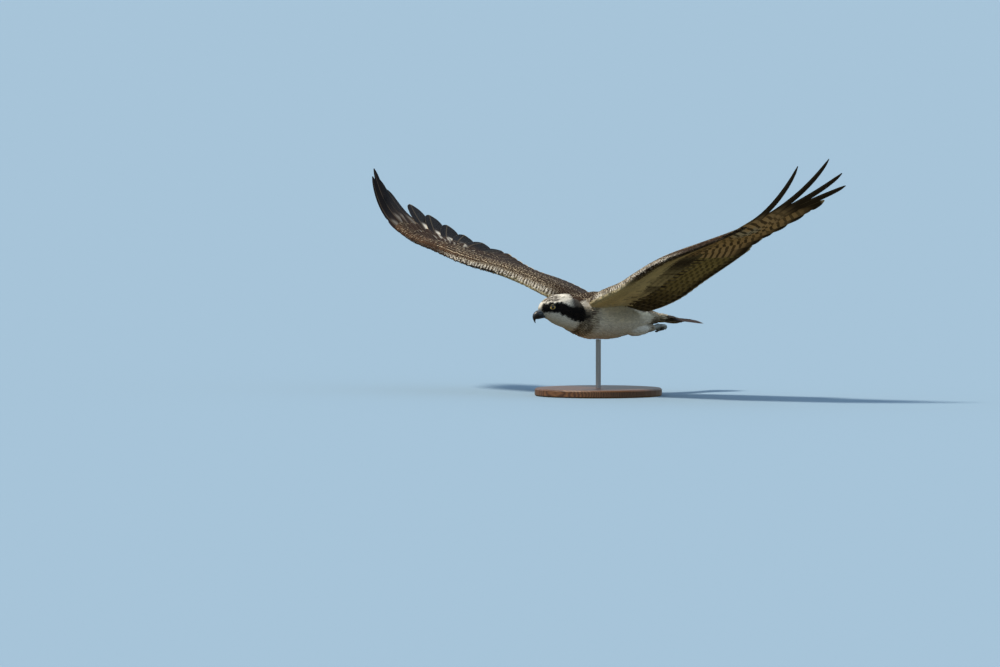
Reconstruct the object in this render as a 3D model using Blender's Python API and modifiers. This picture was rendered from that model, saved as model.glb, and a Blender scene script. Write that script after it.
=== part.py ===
# An osprey in flight, life size, on a plain display stand.
# Metres, +Z up. The bird faces -Y, and its left wing is on the +X side.
# The origin is at the centre of the base's underside.

import math

import bpy
import bmesh
from mathutils import Matrix, Vector

# Driving sizes of the bird
WINGTIP_X = 0.740          # from the middle of the body to a raised wingtip, along X
WRIST_X = 0.335            # the bend of the wing
WING_RISE_NEAR = 1.0       # how far the left wing's fingers curl up
WING_RISE_FAR = 0.80       # the right wing's fingers curl less
PRIMARIES = 10
FINGERS = 4                # the outermost primaries stand apart as fingers
SECONDARIES = 18
TAIL_FEATHERS = 12
TAIL_LENGTH = 0.166
TAIL_DROOP = math.radians(4.8)
HEAD_TURN = math.radians(22)
HEAD_DIP = math.radians(8)
HEAD_CENTRE = Vector((-0.005, -0.090, 0.011))
EYE_RADIUS = 0.0078

# Sizes that many pieces share
GAP = 0.0003               # between touching pieces
VANE_EDGE = 0.0006         # thickness of a feather at its edge
SHAFT_RISE = 0.0005        # how far a shaft stands above its vane
LOUVRE = 0.10              # slope of each vane across its width, so that the next one slides under it

# The display stand
BASE_RADIUS = 0.150
BASE_SIDES = 40
BASE_HEIGHT = 0.018
ROD_RADIUS = 0.006
ROD_LENGTH = 0.115
ROD_Y = 0.060              # where the rod meets the belly, in the bird's own frame
BIRD_HEIGHT = 0.197        # of the bird's own origin above the floor
BIRD_BANK = math.radians(2.5)       # the whole bird banks, so that its left side is the higher
BANK_AZIMUTH = math.radians(43)     # direction of the level axis that it banks about
ROD_OVERREACH = 0.060      # how far the rod is built into the belly before the belly cuts it off

COLOURS = {
    "plumage_white": (0.70, 0.68, 0.62),
    "plumage_wing": (0.085, 0.060, 0.046),
    "plumage_tail": (0.14, 0.105, 0.08),
    "bill": (0.018, 0.018, 0.022),
    "eye": (0.62, 0.33, 0.05),
    "leg_skin": (0.42, 0.45, 0.44),
    "steel": (0.45, 0.45, 0.46),
    "wood": (0.16, 0.09, 0.05),
}


def clear_scene():
    for item in list(bpy.data.objects):
        bpy.data.objects.remove(item, do_unlink=True)


def material(name, roughness=0.7, metallic=0.0):
    found = bpy.data.materials.get(name)
    if found:
        return found
    made = bpy.data.materials.new(name)
    made.use_nodes = True
    shader = made.node_tree.nodes["Principled BSDF"]
    shader.inputs["Base Color"].default_value = (*COLOURS[name], 1.0)
    shader.inputs["Roughness"].default_value = roughness
    shader.inputs["Metallic"].default_value = metallic
    return made


def smooth_through(knots, x):
    """A smooth value at x through (x, value) knots, which carries on straight past both ends."""
    last = len(knots) - 1
    i = 0
    while i < last - 1 and x > knots[i + 1][0]:
        i += 1
    (x0, v0), (x1, v1) = knots[i], knots[i + 1]
    before = knots[i - 1] if i > 0 else (2 * x0 - x1, 2 * v0 - v1)
    after = knots[i + 2] if i + 2 <= last else (2 * x1 - x0, 2 * v1 - v0)
    slope0 = (v1 - before[1]) / (x1 - before[0])
    slope1 = (after[1] - v0) / (after[0] - x0)
    width = x1 - x0
    t = (x - x0) / width
    if t < 0:
        return v0 + slope0 * (x - x0)
    if t > 1:
        return v1 + slope1 * (x - x1)
    h00 = 2 * t**3 - 3 * t**2 + 1
    h10 = t**3 - 2 * t**2 + t
    h01 = -2 * t**3 + 3 * t**2
    h11 = t**3 - t**2
    return h00 * v0 + h10 * width * slope0 + h01 * v1 + h11 * width * slope1


def blend(a, b, t):
    return a + (b - a) * t


# Mesh building

def object_from(bm, name, collection, skin):
    bmesh.ops.recalc_face_normals(bm, faces=bm.faces)
    mesh = bpy.data.meshes.new(name)
    bm.to_mesh(mesh)
    bm.free()
    made = bpy.data.objects.new(name, mesh)
    collection.objects.link(made)
    if skin:
        mesh.materials.append(skin)
    return made


def loft(name, rings, collection, skin=None, tip=None):
    """A closed skin through rings of equal count, capped flat at the start, and flat or in a point at the end."""
    bm = bmesh.new()
    rows = [[bm.verts.new(p) for p in ring] for ring in rings]
    count = len(rows[0])
    for near, far in zip(rows, rows[1:]):
        for i in range(count):
            k = (i + 1) % count
            bm.faces.new((near[i], near[k], far[k]))
            bm.faces.new((near[i], far[k], far[i]))
    bm.faces.new(rows[0][::-1])
    if tip is None:
        bm.faces.new(rows[-1])
    else:
        point = bm.verts.new(tip)
        for i in range(count):
            bm.faces.new((rows[-1][i], rows[-1][(i + 1) % count], point))
    bmesh.ops.triangulate(bm, faces=[f for f in bm.faces if len(f.verts) > 3])
    return object_from(bm, name, collection, skin)


def oval(centre, right, up, half_width, top, bottom, count, grow=0.0, square=1.0):
    """Points of an oval whose upper and lower halves differ in height. square under 1 makes it boxier."""
    points = []
    for i in range(count):
        angle = 2 * math.pi * i / count
        c, s = math.cos(angle), math.sin(angle)
        c = math.copysign(abs(c) ** square, c)
        s = math.copysign(abs(s) ** square, s)
        height = (top if s > 0 else bottom) + grow
        points.append(centre + right * (c * (half_width + grow)) + up * (s * height))
    return points


def evaluated_copy(item, name, collection):
    graph = bpy.context.evaluated_depsgraph_get()
    mesh = bpy.data.meshes.new_from_object(item.evaluated_get(graph))
    made = bpy.data.objects.new(name, mesh)
    made.matrix_world = item.matrix_world
    collection.objects.link(made)
    return made


def keep_largest(item):
    """Keeps the largest closed surface of a mesh, which drops loose scraps and sealed hollows."""
    bm = bmesh.new()
    bm.from_mesh(item.data)
    left = set(bm.verts)
    groups = []
    while left:
        group = {left.pop()}
        front = list(group)
        while front:
            vert = front.pop()
            for edge in vert.link_edges:
                other = edge.other_vert(vert)
                if other in left:
                    left.discard(other)
                    group.add(other)
                    front.append(other)
        groups.append(group)
    groups.sort(key=len)
    for group in groups[:-1]:
        bmesh.ops.delete(bm, geom=list(group), context="VERTS")
    bm.to_mesh(item.data)
    bm.free()


def after_boolean(item, name, operation, operand, solver):
    """The mesh of item after one Boolean with an object or a collection, with the old pieces removed."""
    modifier = item.modifiers.new("join", "BOOLEAN")
    modifier.operation = operation
    modifier.solver = solver
    many = isinstance(operand, bpy.types.Collection)
    modifier.operand_type = "COLLECTION" if many else "OBJECT"
    if many:
        modifier.collection = operand
    else:
        modifier.object = operand
    collection = item.users_collection[0]
    skins = [slot.material for slot in item.material_slots]
    made = evaluated_copy(item, name, collection)
    bpy.data.objects.remove(item, do_unlink=True)
    made.name = name
    made.data.materials.clear()
    for skin in skins:
        made.data.materials.append(skin)
    for face in made.data.polygons:
        face.material_index = 0
    return made


def fuse(core, pieces, name, solver="EXACT"):
    """One closed body from a core and the closed pieces sunk into it."""
    holder = bpy.data.collections.new("pieces")
    bpy.context.scene.collection.children.link(holder)
    for piece in pieces:
        for home in list(piece.users_collection):
            home.objects.unlink(piece)
        holder.objects.link(piece)
    bpy.context.view_layer.update()
    made = after_boolean(core, name, "UNION", holder, solver)
    for piece in pieces:
        bpy.data.objects.remove(piece, do_unlink=True)
    bpy.data.collections.remove(holder)
    keep_largest(made)
    return made


def carve(item, cutter, operation="DIFFERENCE", solver="EXACT"):
    name = item.name
    bpy.context.view_layer.update()
    made = after_boolean(item, name, operation, cutter, solver)
    keep_largest(made)
    return made


def block(name, low, high, collection):
    """A closed box between two corners, used to part or trim pieces."""
    bm = bmesh.new()
    bmesh.ops.create_cube(bm, size=1.0)
    low, high = Vector(low), Vector(high)
    for vert in bm.verts:
        vert.co = Vector(
            blend(low[k], high[k], vert.co[k] + 0.5) for k in range(3)
        )
    return object_from(bm, name, collection, None)


# Feathers. Each lies on a sheet: a function that gives the height of the wing or tail over its plan.

FLIGHT_STATIONS = ((0.00, 0.45), (0.40, 1.00), (0.84, 0.92), (1.00, 0.24))
PRIMARY_STATIONS = ((0.00, 0.30), (0.28, 0.78), (0.66, 1.00), (0.90, 0.78), (1.00, 0.20))
FINGER_STATIONS = (
    (0.00, 0.30), (0.22, 0.85), (0.44, 1.00), (0.60, 0.62), (0.86, 0.46), (1.00, 0.12),
)
COVERT_STATIONS = ((0.00, 0.50), (0.70, 1.00), (1.00, 0.25))
LIFT_POWER = 4.0           # a finger's rise is held back to its outer part
LAYER_REACH = 2.5          # a vane reaches its outer layer height at 1 / this of its length
TIP_THINNING = 0.55        # thickness of a vane's last edge beside the rest


NORMAL_STEP = 0.004        # distance over which a sheet's slope is measured


def surface_normal(sheet, x, y):
    step = NORMAL_STEP
    dx = (sheet(x + step, y) - sheet(x - step, y)) / (2 * step)
    dy = (sheet(x, y + step) - sheet(x, y - step)) / (2 * step)
    return Vector((-dx, -dy, 1)).normalized()


def vane(name, sheet, root, tip, widths, collection, stations=FLIGHT_STATIONS,
         lift=0.0, bow=0.0, layer=(0.0, 0.0), slope=LOUVRE, shaft=True):
    """A feather from root to tip in plan. widths are its leading and trailing webs at the widest.
    layer is its height off the sheet at root and tip, and lift an extra rise at the tip."""
    root, tip = Vector(root), Vector(tip)
    along = (tip - root).normalized()
    # the leading side is towards the wingtip
    side = Vector((along.y, -along.x))
    bm = bmesh.new()
    rows = []
    for share, wide in stations:
        middle = root.lerp(tip, share) + side * (bow * 4 * share * (1 - share))
        rise = lift * share**LIFT_POWER + blend(layer[0], layer[1], min(1.0, share * LAYER_REACH))
        fade = TIP_THINNING if share == 1.0 else 1.0
        points = []
        across = ((widths[0] * wide, 0.0), (0.0, SHAFT_RISE), (-widths[1] * wide, 0.0))
        if not shaft:
            across = (across[0], across[2])
        for offset, ridge in across:
            x, y = middle + side * offset
            up = surface_normal(sheet, middle.x, middle.y)
            centre = Vector((x, y, sheet(x, y) + rise)) + up * (slope * offset)
            half = (VANE_EDGE / 2 + ridge) * fade
            points.append((centre + up * half, centre - up * half))
        rows.append([(bm.verts.new(a), bm.verts.new(b)) for a, b in points])
    last = len(rows[0]) - 1
    for near, far in zip(rows, rows[1:]):
        for k in range(last):
            # the same diagonal on both faces
            bm.faces.new((near[k][0], near[k + 1][0], far[k + 1][0]))
            bm.faces.new((near[k][0], far[k + 1][0], far[k][0]))
            bm.faces.new((near[k][1], far[k + 1][1], near[k + 1][1]))
            bm.faces.new((near[k][1], far[k][1], far[k + 1][1]))
        for k, turn in ((0, 1), (last, -1)):
            a, b, c, d = near[k][0], far[k][0], far[k][1], near[k][1]
            bm.faces.new((a, b, c)[::turn])
            bm.faces.new((a, c, d)[::turn])
    for row, turn in ((rows[0], 1), (rows[-1], -1)):
        for k in range(last):
            a, b, c, d = row[k][0], row[k][1], row[k + 1][1], row[k + 1][0]
            bm.faces.new((a, b, c)[::turn])
            bm.faces.new((a, c, d)[::turn])
    return object_from(bm, name, collection, None)


# The wing, in plan for the left side. The right one is its mirror image.

LEADING_EDGE = (
    (0.015, 0.006), (0.035, -0.012), (0.065, -0.030), (0.100, -0.042), (0.160, -0.048),
    (0.220, -0.061), (0.290, -0.079), (0.335, -0.083), (0.410, -0.074), (0.512, -0.059),
    (0.590, -0.034), (0.700, 0.010),
)
# The two wings are held a little differently: the right one is higher, and turned up more behind
LEADING_HEIGHT = {
    "left": (
        (0.015, 0.002), (0.035, 0.014), (0.065, 0.024), (0.100, 0.034), (0.160, 0.053),
        (0.220, 0.077), (0.335, 0.118), (0.430, 0.147), (0.512, 0.174), (0.590, 0.207),
        (0.660, 0.240), (0.740, 0.277),
    ),
    "right": (
        (0.015, 0.004), (0.035, 0.017), (0.065, 0.034), (0.100, 0.050), (0.160, 0.073),
        (0.220, 0.093), (0.290, 0.111), (0.335, 0.124), (0.410, 0.146), (0.485, 0.167),
        (0.570, 0.203), (0.660, 0.240), (0.740, 0.277),
    ),
}
CHORD_SLOPE = {
    "left": (
        (0.030, -0.12), (0.150, -0.08), (0.230, -0.04), (0.330, 0.01), (0.430, 0.085),
        (0.550, 0.11), (0.740, 0.10),
    ),
    "right": (
        (0.030, -0.13), (0.150, -0.085), (0.230, -0.07), (0.330, -0.05), (0.430, 0.025),
        (0.550, 0.06), (0.740, 0.065),
    ),
}
CHORD_LENGTH = ((0.030, 0.215), (0.200, 0.238), (0.335, 0.242), (0.500, 0.20), (0.740, 0.16))
CAMBER = 0.052             # rise of the arch, as a share of the chord
CAMBER_FORWARD = 0.75      # under 1 brings the top of the arch forward


def wing_sheet(side):
    """A function for the height of a wing's mean surface over the point (x, y) of its plan."""
    heights, slopes = LEADING_HEIGHT[side], CHORD_SLOPE[side]

    def height(x, y):
        front = smooth_through(LEADING_EDGE, x)
        chord = smooth_through(CHORD_LENGTH, x)
        back = y - front
        share = max(0.0, min(1.0, back / chord))
        arch = CAMBER * chord * math.sin(math.pi * share**CAMBER_FORWARD)
        return smooth_through(heights, x) + back * smooth_through(slopes, x) + arch

    return height


WING_BODY_DEPTH = (
    (0.015, 0.090), (0.065, 0.125), (0.20, 0.108), (0.335, 0.104), (0.45, 0.066), (0.560, 0.034),
)
WING_BODY_THICKNESS = (
    (0.015, 0.0100), (0.065, 0.0180), (0.16, 0.0145), (0.335, 0.0095), (0.45, 0.0065), (0.560, 0.0030),
)
WING_BODY_PROFILE = (
    # share of the depth from the leading edge, share of the thickness
    (0.00, 0.0), (0.05, 0.62), (0.20, 1.00), (0.50, 0.85), (0.80, 0.48), (1.00, 0.20),
)
LOWER_SHARE = 0.75         # the under side bulges less than the upper
WING_ROOT_X = 0.015        # where the wing's body starts, inside the torso
HAND_END_X = 0.560         # where the hand's body runs out among the primaries
HAND_START = -0.012        # of the hand's body, from the bend of the wing
ARM_END = 0.040            # of the arm's body, from the bend of the wing


def wing_body(name, sheet, x_from, x_to, steps, collection, skin):
    """The fleshy front of the wing with its small coverts, as a loft of thin rounded sections."""
    rings = []
    for i in range(steps + 1):
        x = blend(x_from, x_to, i / steps)
        front = smooth_through(LEADING_EDGE, x)
        depth = smooth_through(WING_BODY_DEPTH, x)
        thick = smooth_through(WING_BODY_THICKNESS, x)
        upper = []
        lower = []
        for share, full in WING_BODY_PROFILE:
            y = front + depth * share
            centre = Vector((x, y, sheet(x, y)))
            up = surface_normal(sheet, x, y)
            upper.append(centre + up * (thick * full))
            lower.append(centre - up * (thick * full * LOWER_SHARE))
        rings.append(upper + lower[:0:-1])
    return loft(name, rings, collection, skin)


# Each table below runs over the feather's own number, or over 0 to 1 along the row
PRIMARY_ROOTS = ((0.342, -0.030), (0.452, -0.052))    # in plan, of the first and the last
PRIMARY_TIP_X = ((0, 0.402), (3, 0.548), (5, 0.664), (6, 0.735), (7, 0.742), (8, 0.730), (9, 0.682))
PRIMARY_TIP_Y = ((0, 0.157), (2, 0.130), (4, 0.122), (6, 0.116), (7, 0.096), (8, 0.064), (9, 0.008))
PRIMARY_LIFT = ((0, 0.0), (5, 0.001), (6, 0.004), (7, 0.031), (8, 0.073), (9, 0.087))
PRIMARY_BOW = (0.004, 0.016)
PRIMARY_WEBS = (0.014, 0.036)
FINGER_WEBS = (0.011, 0.027)
SECONDARY_ROOT_X = (0.327, 0.085)
SECONDARY_ROOT_Y = ((0, -0.030), (0.5, 0.010), (0.8, 0.026), (1, 0.018))
SECONDARY_TIP_X = ((0, 0.386), (0.5, 0.238), (1, 0.078))
SECONDARY_TIP_Y = ((0, 0.168), (0.4, 0.174), (0.75, 0.182), (1, 0.176))
SECONDARY_WEBS = (0.012, 0.025)
DRAWN_WINGTIP_X = 0.740    # the wingtip that the tables are drawn for


def primary(i):
    """Root, tip, webs, lift and bow of primary i, from 0 beside the wrist to 9 at the front."""
    t = i / (PRIMARIES - 1)
    near, far = PRIMARY_ROOTS
    root = (blend(near[0], far[0], t), blend(near[1], far[1], t))
    tip_x = smooth_through(PRIMARY_TIP_X, i) * WINGTIP_X / DRAWN_WINGTIP_X
    tip = (tip_x, smooth_through(PRIMARY_TIP_Y, i))
    fingered = i >= PRIMARIES - FINGERS
    webs = FINGER_WEBS if fingered else PRIMARY_WEBS
    return root, tip, webs, smooth_through(PRIMARY_LIFT, i), blend(*PRIMARY_BOW, t), fingered


def secondary(i):
    """Root, tip and webs of secondary i, from 0 at the wrist to the last beside the body."""
    t = i / (SECONDARIES - 1)
    root = (blend(*SECONDARY_ROOT_X, t), smooth_through(SECONDARY_ROOT_Y, t))
    tip = (smooth_through(SECONDARY_TIP_X, t), smooth_through(SECONDARY_TIP_Y, t))
    return root, tip, SECONDARY_WEBS


COVERT_START = 0.05        # along its flight feather
ARM_REACH = 0.52           # how far the great coverts reach along the secondaries
HAND_REACH = 0.36          # and along the primaries
UNDER_REACH = 0.92         # the under coverts reach this share of that
UPPER_LAYER = (0.0010, 0.0036)
UNDER_LAYER = (-0.0010, -0.0040)
UPPER_WEBS = (0.009, 0.013)
UNDER_WEBS = (0.014, 0.020)


def coverts(flights, sheet, layer, reach, webs, collection, tag):
    """A tier of covert vanes over or under some of the flight feathers."""
    made = []
    for i, (root, tip) in enumerate(flights):
        root, tip = Vector(root), Vector(tip)
        made.append(vane(f"{tag}_{i}", sheet, root.lerp(tip, COVERT_START), root.lerp(tip, reach),
                         webs, collection, COVERT_STATIONS, layer=layer, shaft=False))
    return made


def wing_half(name, side, outer, rise, work, skin):
    """The arm with its secondaries, or the hand with its primaries, each fused into one body."""
    sheet = wing_sheet(side)
    pieces = []
    lines = []
    if outer:
        core = wing_body(name, sheet, WRIST_X + HAND_START, HAND_END_X, 6, work, skin)
        for i in range(PRIMARIES):
            root, tip, webs, lift, bow, fingered = primary(i)
            stations = FINGER_STATIONS if fingered else PRIMARY_STATIONS
            pieces.append(vane(f"{name}_{i}", sheet, root, tip, webs, work, stations,
                               lift * rise, bow))
            lines.append((root, tip))
        reach = HAND_REACH
    else:
        core = wing_body(name, sheet, WING_ROOT_X, WRIST_X + ARM_END, 9, work, skin)
        for i in range(SECONDARIES):
            root, tip, webs = secondary(i)
            pieces.append(vane(f"{name}_{i}", sheet, root, tip, webs, work))
            lines.append((root, tip))
        reach = ARM_REACH
    pieces += coverts(lines, sheet, UPPER_LAYER, reach, UPPER_WEBS, work, name + "_upper")
    # under the wing one broader vane serves two flight feathers
    pieces += coverts(lines[::2], sheet, UNDER_LAYER, reach * UNDER_REACH, UNDER_WEBS, work,
                      name + "_lower")
    return fuse(core, pieces, name)


WRIST_CUT = (Vector((WRIST_X - 0.006, -0.15, 0)), Vector((0.401, 0.20, 0)))
FAR_OUT = 0.8              # the blocks reach past the whole wing on every side


def wrist_blocks(work):
    """Two large blocks that meet, but for the gap, on an upright plane between arm and hand."""
    foot, far = WRIST_CUT
    turn = math.atan2(far.x - foot.x, far.y - foot.y)
    place = Matrix.Translation(foot) @ Matrix.Rotation(-turn, 4, "Z")
    inner = block("inner_side", (-FAR_OUT,) * 3, (-GAP / 2, FAR_OUT, FAR_OUT), work)
    outer = block("outer_side", (GAP / 2, -FAR_OUT, -FAR_OUT), (FAR_OUT,) * 3, work)
    for item in (inner, outer):
        item.data.transform(place)
    return inner, outer


def mirrored(item):
    item.data.transform(Matrix.Scale(-1, 4, (1, 0, 0)))
    item.data.flip_normals()
    return item


def make_wings(collection, work, torso_space):
    for side, rise, mirror in (("left", WING_RISE_NEAR, False), ("right", WING_RISE_FAR, True)):
        for outer in (False, True):
            label = "hand" if outer else "arm"
            made = wing_half(f"{side}_wing_{label}", side, outer, rise, work, material("plumage_wing"))
            inner_side, outer_side = wrist_blocks(work)
            made = carve(made, outer_side if outer else inner_side, "INTERSECT")
            for helper in (inner_side, outer_side):
                bpy.data.objects.remove(helper, do_unlink=True)
            if mirror:
                mirrored(made)
            if not outer:
                made = carve(made, torso_space)
            move_to(made, collection)


def move_to(item, collection):
    for home in list(item.users_collection):
        home.objects.unlink(item)
    collection.objects.link(item)


# The body

RIGHT = Vector((1, 0, 0))
UP = Vector((0, 0, 1))
TORSO_STATIONS = (
    # y, height of the middle, half width, top, bottom
    (-0.034, -0.003, 0.0420, 0.0370, 0.0430),
    (-0.010, -0.005, 0.0530, 0.0450, 0.0500),
    (0.018, -0.007, 0.0605, 0.0530, 0.0555),
    (0.055, -0.008, 0.0650, 0.0575, 0.0565),
    (0.095, -0.009, 0.0640, 0.0545, 0.0550),
    (0.140, -0.010, 0.0560, 0.0450, 0.0470),
    (0.180, -0.011, 0.0450, 0.0330, 0.0365),
    (0.215, -0.011, 0.0340, 0.0230, 0.0290),
    (0.245, -0.012, 0.0240, 0.0150, 0.0180),
    (0.268, -0.013, 0.0120, 0.0070, 0.0090),
)
TORSO_SIDES = 28


def torso_rings(grow):
    return [
        oval(Vector((0, y, z)), RIGHT, UP, half, top, bottom, TORSO_SIDES, grow)
        for y, z, half, top, bottom in TORSO_STATIONS
    ]


def make_torso(collection, work):
    """The torso, and a slightly larger copy that leaves the gap where other pieces meet it."""
    torso = loft("torso", torso_rings(0.0), collection, material("plumage_white"))
    rings = torso_rings(GAP * 1.15)
    first = [p + Vector((0, -GAP, 0)) for p in rings[0]]
    last = [p + Vector((0, GAP, 0)) for p in rings[-1]]
    space = loft("torso_space", [first] + rings[1:-1] + [last], work)
    space.hide_render = True
    space.display_type = "WIRE"
    return torso, space


def head_axes():
    """The head's right, forward and up, turned to the bird's right and dipped."""
    forward = Vector((0, -math.cos(HEAD_DIP), -math.sin(HEAD_DIP)))
    up = Vector((0, -math.sin(HEAD_DIP), math.cos(HEAD_DIP)))
    # facing -Y, a turn to the right goes towards -X, which is a negative turn about +Z
    turn = Matrix.Rotation(-HEAD_TURN, 3, "Z")
    return turn @ Vector((1, 0, 0)), turn @ forward, turn @ up


HEAD_STATIONS = (
    # forward of the head's centre, half width, top, bottom, how far the section leans forward at its top
    (-0.0300, 0.0310, 0.0275, 0.0560, 0.00),
    (-0.0180, 0.0300, 0.0285, 0.0510, 0.00),
    (-0.0040, 0.0275, 0.0285, 0.0435, 0.00),
    (0.0080, 0.0245, 0.0260, 0.0365, 0.05),
    (0.0180, 0.0205, 0.0215, 0.0305, 0.15),
    (0.0270, 0.0155, 0.0140, 0.0255, 0.30),
    (0.0335, 0.0115, 0.0065, 0.0230, 0.42),
    (0.0370, 0.0088, 0.0005, 0.0215, 0.51),
)
HEAD_SIDES = 24
CREST_LOCKS = 6
CREST_STEP = math.radians(21)
CREST_ROWS = (
    # behind the head's rear ring, length, how far each lock stands off the nape
    (0.0030, 0.020, 0.28), (0.0120, 0.018, 0.20),
)
LOCK_DEPTH = 0.004         # how deep a lock's root is sunk
LOCK_RADII = (0.0026, 0.0022, 0.0012)
NECK_BULGE = 0.04          # how much fuller the neck is between its two ends


def head_point(side, forward, height):
    right, ahead, up = head_axes()
    return HEAD_CENTRE + right * side + ahead * forward + up * height


def head_rings(stations, sides, grow=0.0):
    right, ahead, up = head_axes()
    return [
        oval(head_point(0, s, 0), right, up + ahead * lean, half, top, bottom, sides, grow)
        for s, half, top, bottom, lean in stations
    ]


def make_neck(collection, work):
    """The short neck, from the head's rear ring to the torso's front ring, with the shaggy nape on it."""
    right, ahead, up = head_axes()
    s, half, top, bottom, _ = HEAD_STATIONS[0]
    rear = oval(head_point(0, s - GAP, 0), right, up, half, top, bottom, HEAD_SIDES)
    y, z, width, high, low = TORSO_STATIONS[0]
    front = oval(Vector((0, y - GAP, z)), RIGHT, UP, width, high, low, HEAD_SIDES)
    rings = [rear]
    for t in (0.33, 0.67):
        bulge = 1 + NECK_BULGE * math.sin(math.pi * t)
        centre = head_point(0, s, 0).lerp(Vector((0, y, z)), t)
        rings.append([
            centre + (a.lerp(b, t) - centre) * bulge for a, b in zip(rear, front)
        ])
    rings.append(front)
    core = loft("neck", rings, work, material("plumage_white"))
    locks = []
    for row, (start, length, lean) in enumerate(CREST_ROWS):
        for k in range(CREST_LOCKS - row):
            angle = (k - (CREST_LOCKS - row - 1) / 2) * CREST_STEP
            spoke = right * math.sin(angle) + up * math.cos(angle)
            reach = Vector((half * math.sin(angle), top * math.cos(angle))).length
            foot = head_point(0, s - start, 0) + spoke * (reach - LOCK_DEPTH)
            back = (spoke * lean - ahead).normalized()
            bend = foot + back * length * 0.85 - spoke * 0.001
            locks.append(tube("lock", [foot, foot.lerp(bend, 0.65), bend], LOCK_RADII, 5, work,
                              foot + back * length - spoke * 0.003))
    neck = fuse(core, locks, "neck")
    move_to(neck, collection)
    return neck


def ball(name, centre, radius, collection, skin=None, segments=12, rings=7):
    bm = bmesh.new()
    bmesh.ops.create_uvsphere(bm, u_segments=segments, v_segments=rings, radius=radius)
    bmesh.ops.triangulate(bm, faces=bm.faces)
    made = object_from(bm, name, collection, skin)
    made.data.transform(Matrix.Translation(centre))
    return made


EYE_PLACE = (0.0185, 0.0105, 0.0018)     # aside, forward and up from the head's centre
EYE_FACING = (0.93, 0.36)                # how far it looks outward, and forward
LID_SHARE = 0.86                         # radius of the lids' rim beside the eye's
LID_THICKNESS = 0.0014
LID_OUT = 0.0032                         # of the rim from the eye's centre


def eye_centre(side):
    aside, forward, height = EYE_PLACE
    return head_point(side * aside, forward, height)


def lid_ring(name, side, collection):
    """The rim of the lids round an eye, with the brow's ledge above it."""
    right, ahead, up = head_axes()
    outward = right * side
    facing = (outward * EYE_FACING[0] + ahead * EYE_FACING[1]).normalized()
    level = facing.cross(up).normalized()
    rise = level.cross(facing).normalized()
    centre = eye_centre(side) + facing * LID_OUT
    bm = bmesh.new()
    count, sides = 14, 4
    rows = []
    for i in range(count):
        angle = 2 * math.pi * i / count
        spoke = level * math.cos(angle) + rise * math.sin(angle)
        row = []
        for k in range(sides):
            turn = 2 * math.pi * k / sides
            off = spoke * (EYE_RADIUS * LID_SHARE + LID_THICKNESS * math.cos(turn))
            row.append(bm.verts.new(centre + off + facing * (LID_THICKNESS * math.sin(turn))))
        rows.append(row)
    for i in range(count):
        near, far = rows[i], rows[(i + 1) % count]
        for k in range(sides):
            j = (k + 1) % sides
            bm.faces.new((near[k], near[j], far[j], far[k]))
    bmesh.ops.triangulate(bm, faces=bm.faces)
    return object_from(bm, name, collection, None)


BROW_STATIONS = (
    # forward of the head's centre, aside, height, half width
    (0.0240, 0.0140, 0.0060, 0.0012), (0.0170, 0.0196, 0.0098, 0.0024),
    (0.0080, 0.0230, 0.0112, 0.0028), (-0.0020, 0.0252, 0.0105, 0.0014),
)


def brow(name, side, collection):
    """The ledge of feathers over the eye, a tapered bar from the lore to the temple."""
    right, ahead, up = head_axes()
    rings = []
    for s, out, high, thick in BROW_STATIONS:
        rings.append(oval(head_point(side * out, s, high), right * side, up,
                          thick, thick * 0.8, thick * 0.8, 8))
    return loft(name, rings, collection)


def make_head(collection, work):
    rings = head_rings(HEAD_STATIONS, HEAD_SIDES)
    core = loft("head", rings, work, material("plumage_white"))
    pieces = []
    for side, label in ((1, "left"), (-1, "right")):
        pieces.append(lid_ring(f"lid_{label}", side, work))
        pieces.append(brow(f"brow_{label}", side, work))
    head = fuse(core, pieces, "head")
    for side, label in ((1, "left"), (-1, "right")):
        socket = ball("socket", eye_centre(side), EYE_RADIUS + GAP, work)
        head = carve(head, socket)
        bpy.data.objects.remove(socket, do_unlink=True)
        ball(f"{label}_eye", eye_centre(side), EYE_RADIUS, collection, material("eye", 0.1))
    move_to(head, collection)
    return head


BILL_UPPER = (
    # forward of the head's centre, height, half width, half depth, lean of the section in degrees
    (0.0331, -0.0085, 0.0086, 0.0090, 27),
    (0.0415, -0.0102, 0.0078, 0.0088, 31),
    (0.0485, -0.0134, 0.0061, 0.0071, 43),
    (0.0522, -0.0172, 0.0043, 0.0049, 56),
    (0.0531, -0.0218, 0.0028, 0.0031, 66),
    (0.0527, -0.0262, 0.0015, 0.0016, 76),
)
BILL_TIP = (0.0512, -0.0308)
BILL_LOWER = (
    (0.0277, -0.0186, 0.0082, 0.0030, 27),
    (0.0360, -0.0192, 0.0068, 0.0026, 10),
    (0.0430, -0.0200, 0.0048, 0.0020, 0),
    (0.0472, -0.0206, 0.0026, 0.0012, 0),
)
BILL_BEHIND = ((0.0290, -0.0085, 0.0086, 0.0088, 27),)   # one more section, inside the head
NOSTRIL_PLACE = (0.0392, -0.0072)        # forward and up from the head's centre
NOSTRIL_REACH = (0.0056, 0.0140)         # aside, from inside the bill to outside it
NOSTRIL_SIZE = (0.0019, 0.0009)          # half length, half height


def bill_rings(stations, sides, grow=0.0):
    right, ahead, up = head_axes()
    rings = []
    for forward, high, half, deep, lean in stations:
        turn = math.radians(lean)
        section_up = up * math.cos(turn) + ahead * math.sin(turn)
        rings.append(oval(head_point(0, forward + GAP * 1.5, high), right, section_up,
                          half, deep, deep, sides, grow, 0.9))
    return rings


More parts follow.
